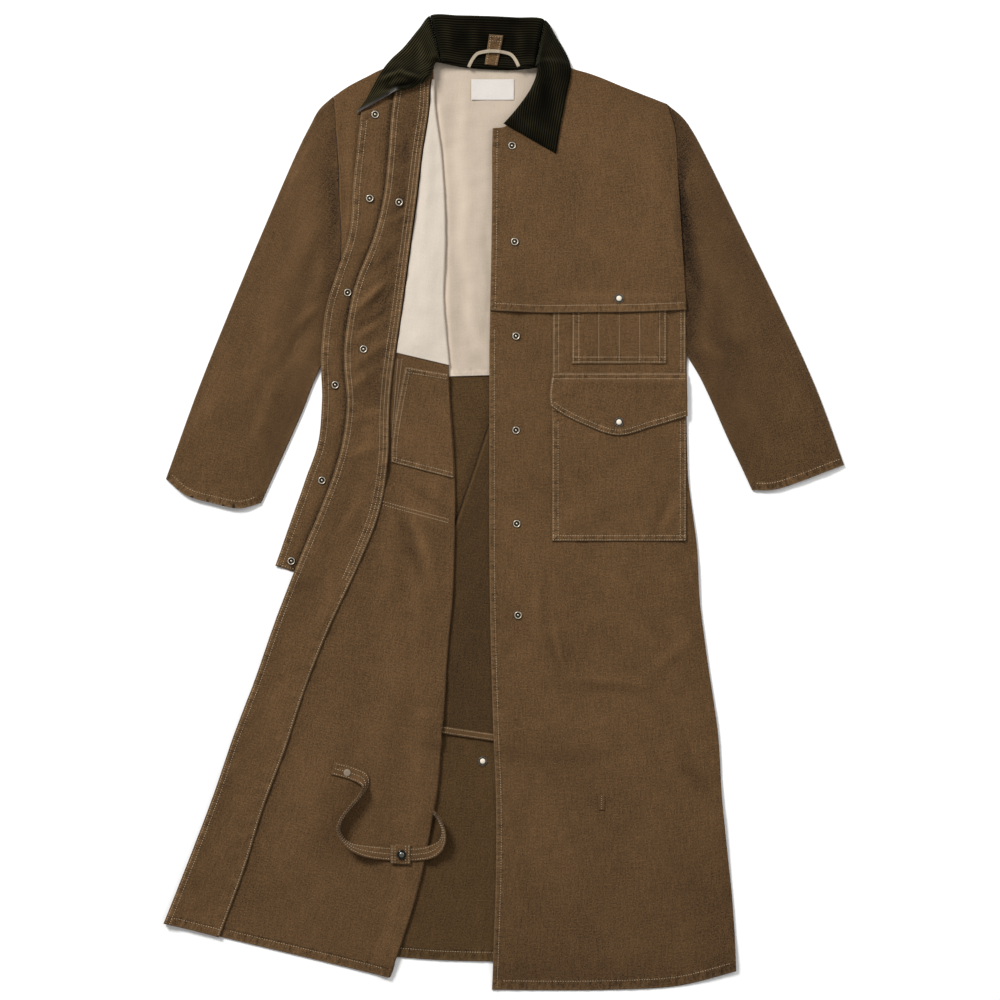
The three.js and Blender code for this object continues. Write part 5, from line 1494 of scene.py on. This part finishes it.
def lay_collar_part(part):
    """One part of the collar: a closed body from the coat up to its ribbed outside."""
    room = 0.012
    start, end = part["from"] + room * (part["from"] > 0), part["to"] - room * (part["to"] < collar_last)
    lines = [part_of(edge, start / collar_last, end / collar_last) for edge in (collar_outer, collar_neck)]
    along = np.linspace(0, 1, 70)
    outer, neck = (line(along) for line in lines)
    widths = np.linalg.norm(neck - outer, axis=1)
    across = np.linspace(0, 1, math.ceil(widths.max() / (1.5 * MM)))
    points = outer[:, None] + across[None, :, None] * (neck - outer)[:, None]
    flat = points.reshape(-1, 2)
    depth = (across[None] * widths[:, None]).ravel()
    stops = np.array([section["heights"] for section in collar_sections], float)
    place = start + (end - start) * along
    outer_height, neck_height = (np.interp(place, range(len(stops)), stops[:, i])[:, None] for i in (0, 1))
    u = across[None]
    full = (outer_height * (1 - u) + neck_height * u + part["crown"] * np.sin(math.pi * u)).ravel() * MM
    border = np.vstack([points[0], points[1:, -1], points[-1, ::-1], points[::-1, 0]])
    away = beside(flat, border)[0]
    full += creases(flat, part["folds"], part["seed"]) * np.clip(away / (6 * MM), 0, 1)
    full += 0.3 * MM * ripples(flat, 40 * MM, part["seed"])
    bed, least = bed_under(collar_bed, flat, 5 * MM)
    bottom = np.maximum(bed, least)
    top = bottom + np.maximum(full, 2.2 * MM) * edge_roll(away, np.clip(full * 0.45, 1.5 * MM, 7 * MM))
    shape = (*points.shape[:2], 3)
    low, high = (np.column_stack([flat, z]).reshape(shape) for z in (bottom, top))
    free = np.min([beside(flat, points[row])[0] for row in ((0,) if part["from"] == 0 else (-1,))], axis=0)
    wear = np.exp(-free / (0.9 * MM)) * (depth < 48 * MM) * (part["name"] == "collar_right_fall")
    piece = shell(f"{part['name']}_corduroy", high, low, corduroy, wear=wear.reshape(shape[:2]))
    # Painted light and shade: the wales are painted brighter on the crests of the collar's folds and darker in their
    # hollows.
    nap = part["nap"] * (1 + np.clip(creases(flat, part["folds"], part["seed"], 0.6) / (3 * MM), -0.8, 1.2))
    for attribute, values in (("wale_depth", depth), ("nap", nap)):
        piece.data.attributes.new(attribute, "FLOAT", "POINT").data.foreach_set("value", np.tile(values, 2))
    add_to_pile(body_pile, high)
    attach(piece, "root")
    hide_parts(part["name"])
    return piece


for collar_part in collar_parts:
    lay_collar_part(collar_part)


# Neck trim: a canvas tab sewn up the middle of the collar, and a hanger loop of pale tape over it, both
# caught in the neck seam.
tape_pale = (0.34, 0.28, 0.205)
tape_cloth = 1.2 * MM
tab_low, tab_high = ((-29, 656), (-10, 654)), ((-22, 700), (-1, 698))
loop_route = [((-53, 652), 0), ((-47, 664), 0), ((-40, 672), 0), ((-27, 675), 0), ((-8, 675), 0), ((10, 671), 0),
              ((17, 663), 0), ((22, 652), 0)]
tab_panel = Panel(straight_edge(tab_low[0], tab_high[0]), straight_edge(tab_low[1], tab_high[1]), step=3 * MM)
tab = lay("collar_tab_canvas", tab_panel, canvas, canvas_outside, "canvas_outside", "collar_tab", seed=131,
          hems=[("left", (3,), 4), ("right", (3,), 4), ("high", (3,), 5)], long_wave=0.2, crumple=0.25,
          drape=4 * MM, rests_on=["collar_back_corduroy"])
sew("collar_tab_stitching", tab, hem_rows(tab_panel, ("left", (3,), 2, 2), ("right", (3,), 2, 2),
                                          ("high", (3, 9), 2, 2)))
tape_material = woven_cloth("cotton_tape", tape_pale, (0.6, 0.53, 0.43), grain=0.3, pitch=0.6)
lay_strap("hanger_loop_tape", "hanger_loop", loop_route, 5 * MM, tape_cloth, tape_material, step=2 * MM)


# Pale studio floor and soft lights: a broad key from high up beyond the right shoulder, a weaker fill from the
# other side, and a white surround.
floor = bpy.data.objects.new("floor", bpy.data.meshes.new("floor"))
floor.data.from_pydata([(-6, -6, -0.0003), (6, -6, -0.0003), (6, 6, -0.0003), (-6, 6, -0.0003)], [], [(0, 1, 2, 3)])
floor_paint = bpy.data.materials.new("pale_floor")
floor_paint.use_nodes = True
floor_paint.node_tree.nodes["Principled BSDF"].inputs["Base Color"].default_value = (0.98, 0.98, 0.98, 1)
floor_paint.node_tree.nodes["Principled BSDF"].inputs["Roughness"].default_value = 1
floor_paint.node_tree.nodes["Principled BSDF"].inputs["Specular IOR Level"].default_value = 0
floor.data.materials.append(floor_paint)
bpy.context.scene.collection.objects.link(floor)

lights = [
    {"name": "key", "at": (-3.0, 3.6, 3.75), "size": 1.6, "power": 400},
    {"name": "fill", "at": (2.6, 1.6, 2.2), "size": 2.0, "power": 42},
]
for light in lights:
    lamp = bpy.data.objects.new(light["name"], bpy.data.lights.new(light["name"], "AREA"))
    lamp.data.size, lamp.data.energy = light["size"], light["power"]
    lamp.location = light["at"]
    lamp.rotation_euler = (-Vector(light["at"])).to_track_quat("-Z", "Y").to_euler()
    bpy.context.scene.collection.objects.link(lamp)

surround = bpy.data.worlds.new("surround")
surround.use_nodes = True
surround.node_tree.nodes["Background"].inputs["Color"].default_value = (1, 1, 1, 1)
surround.node_tree.nodes["Background"].inputs["Strength"].default_value = 0.41
bpy.context.scene.world = surround
bpy.context.scene.view_settings.view_transform = "Standard"
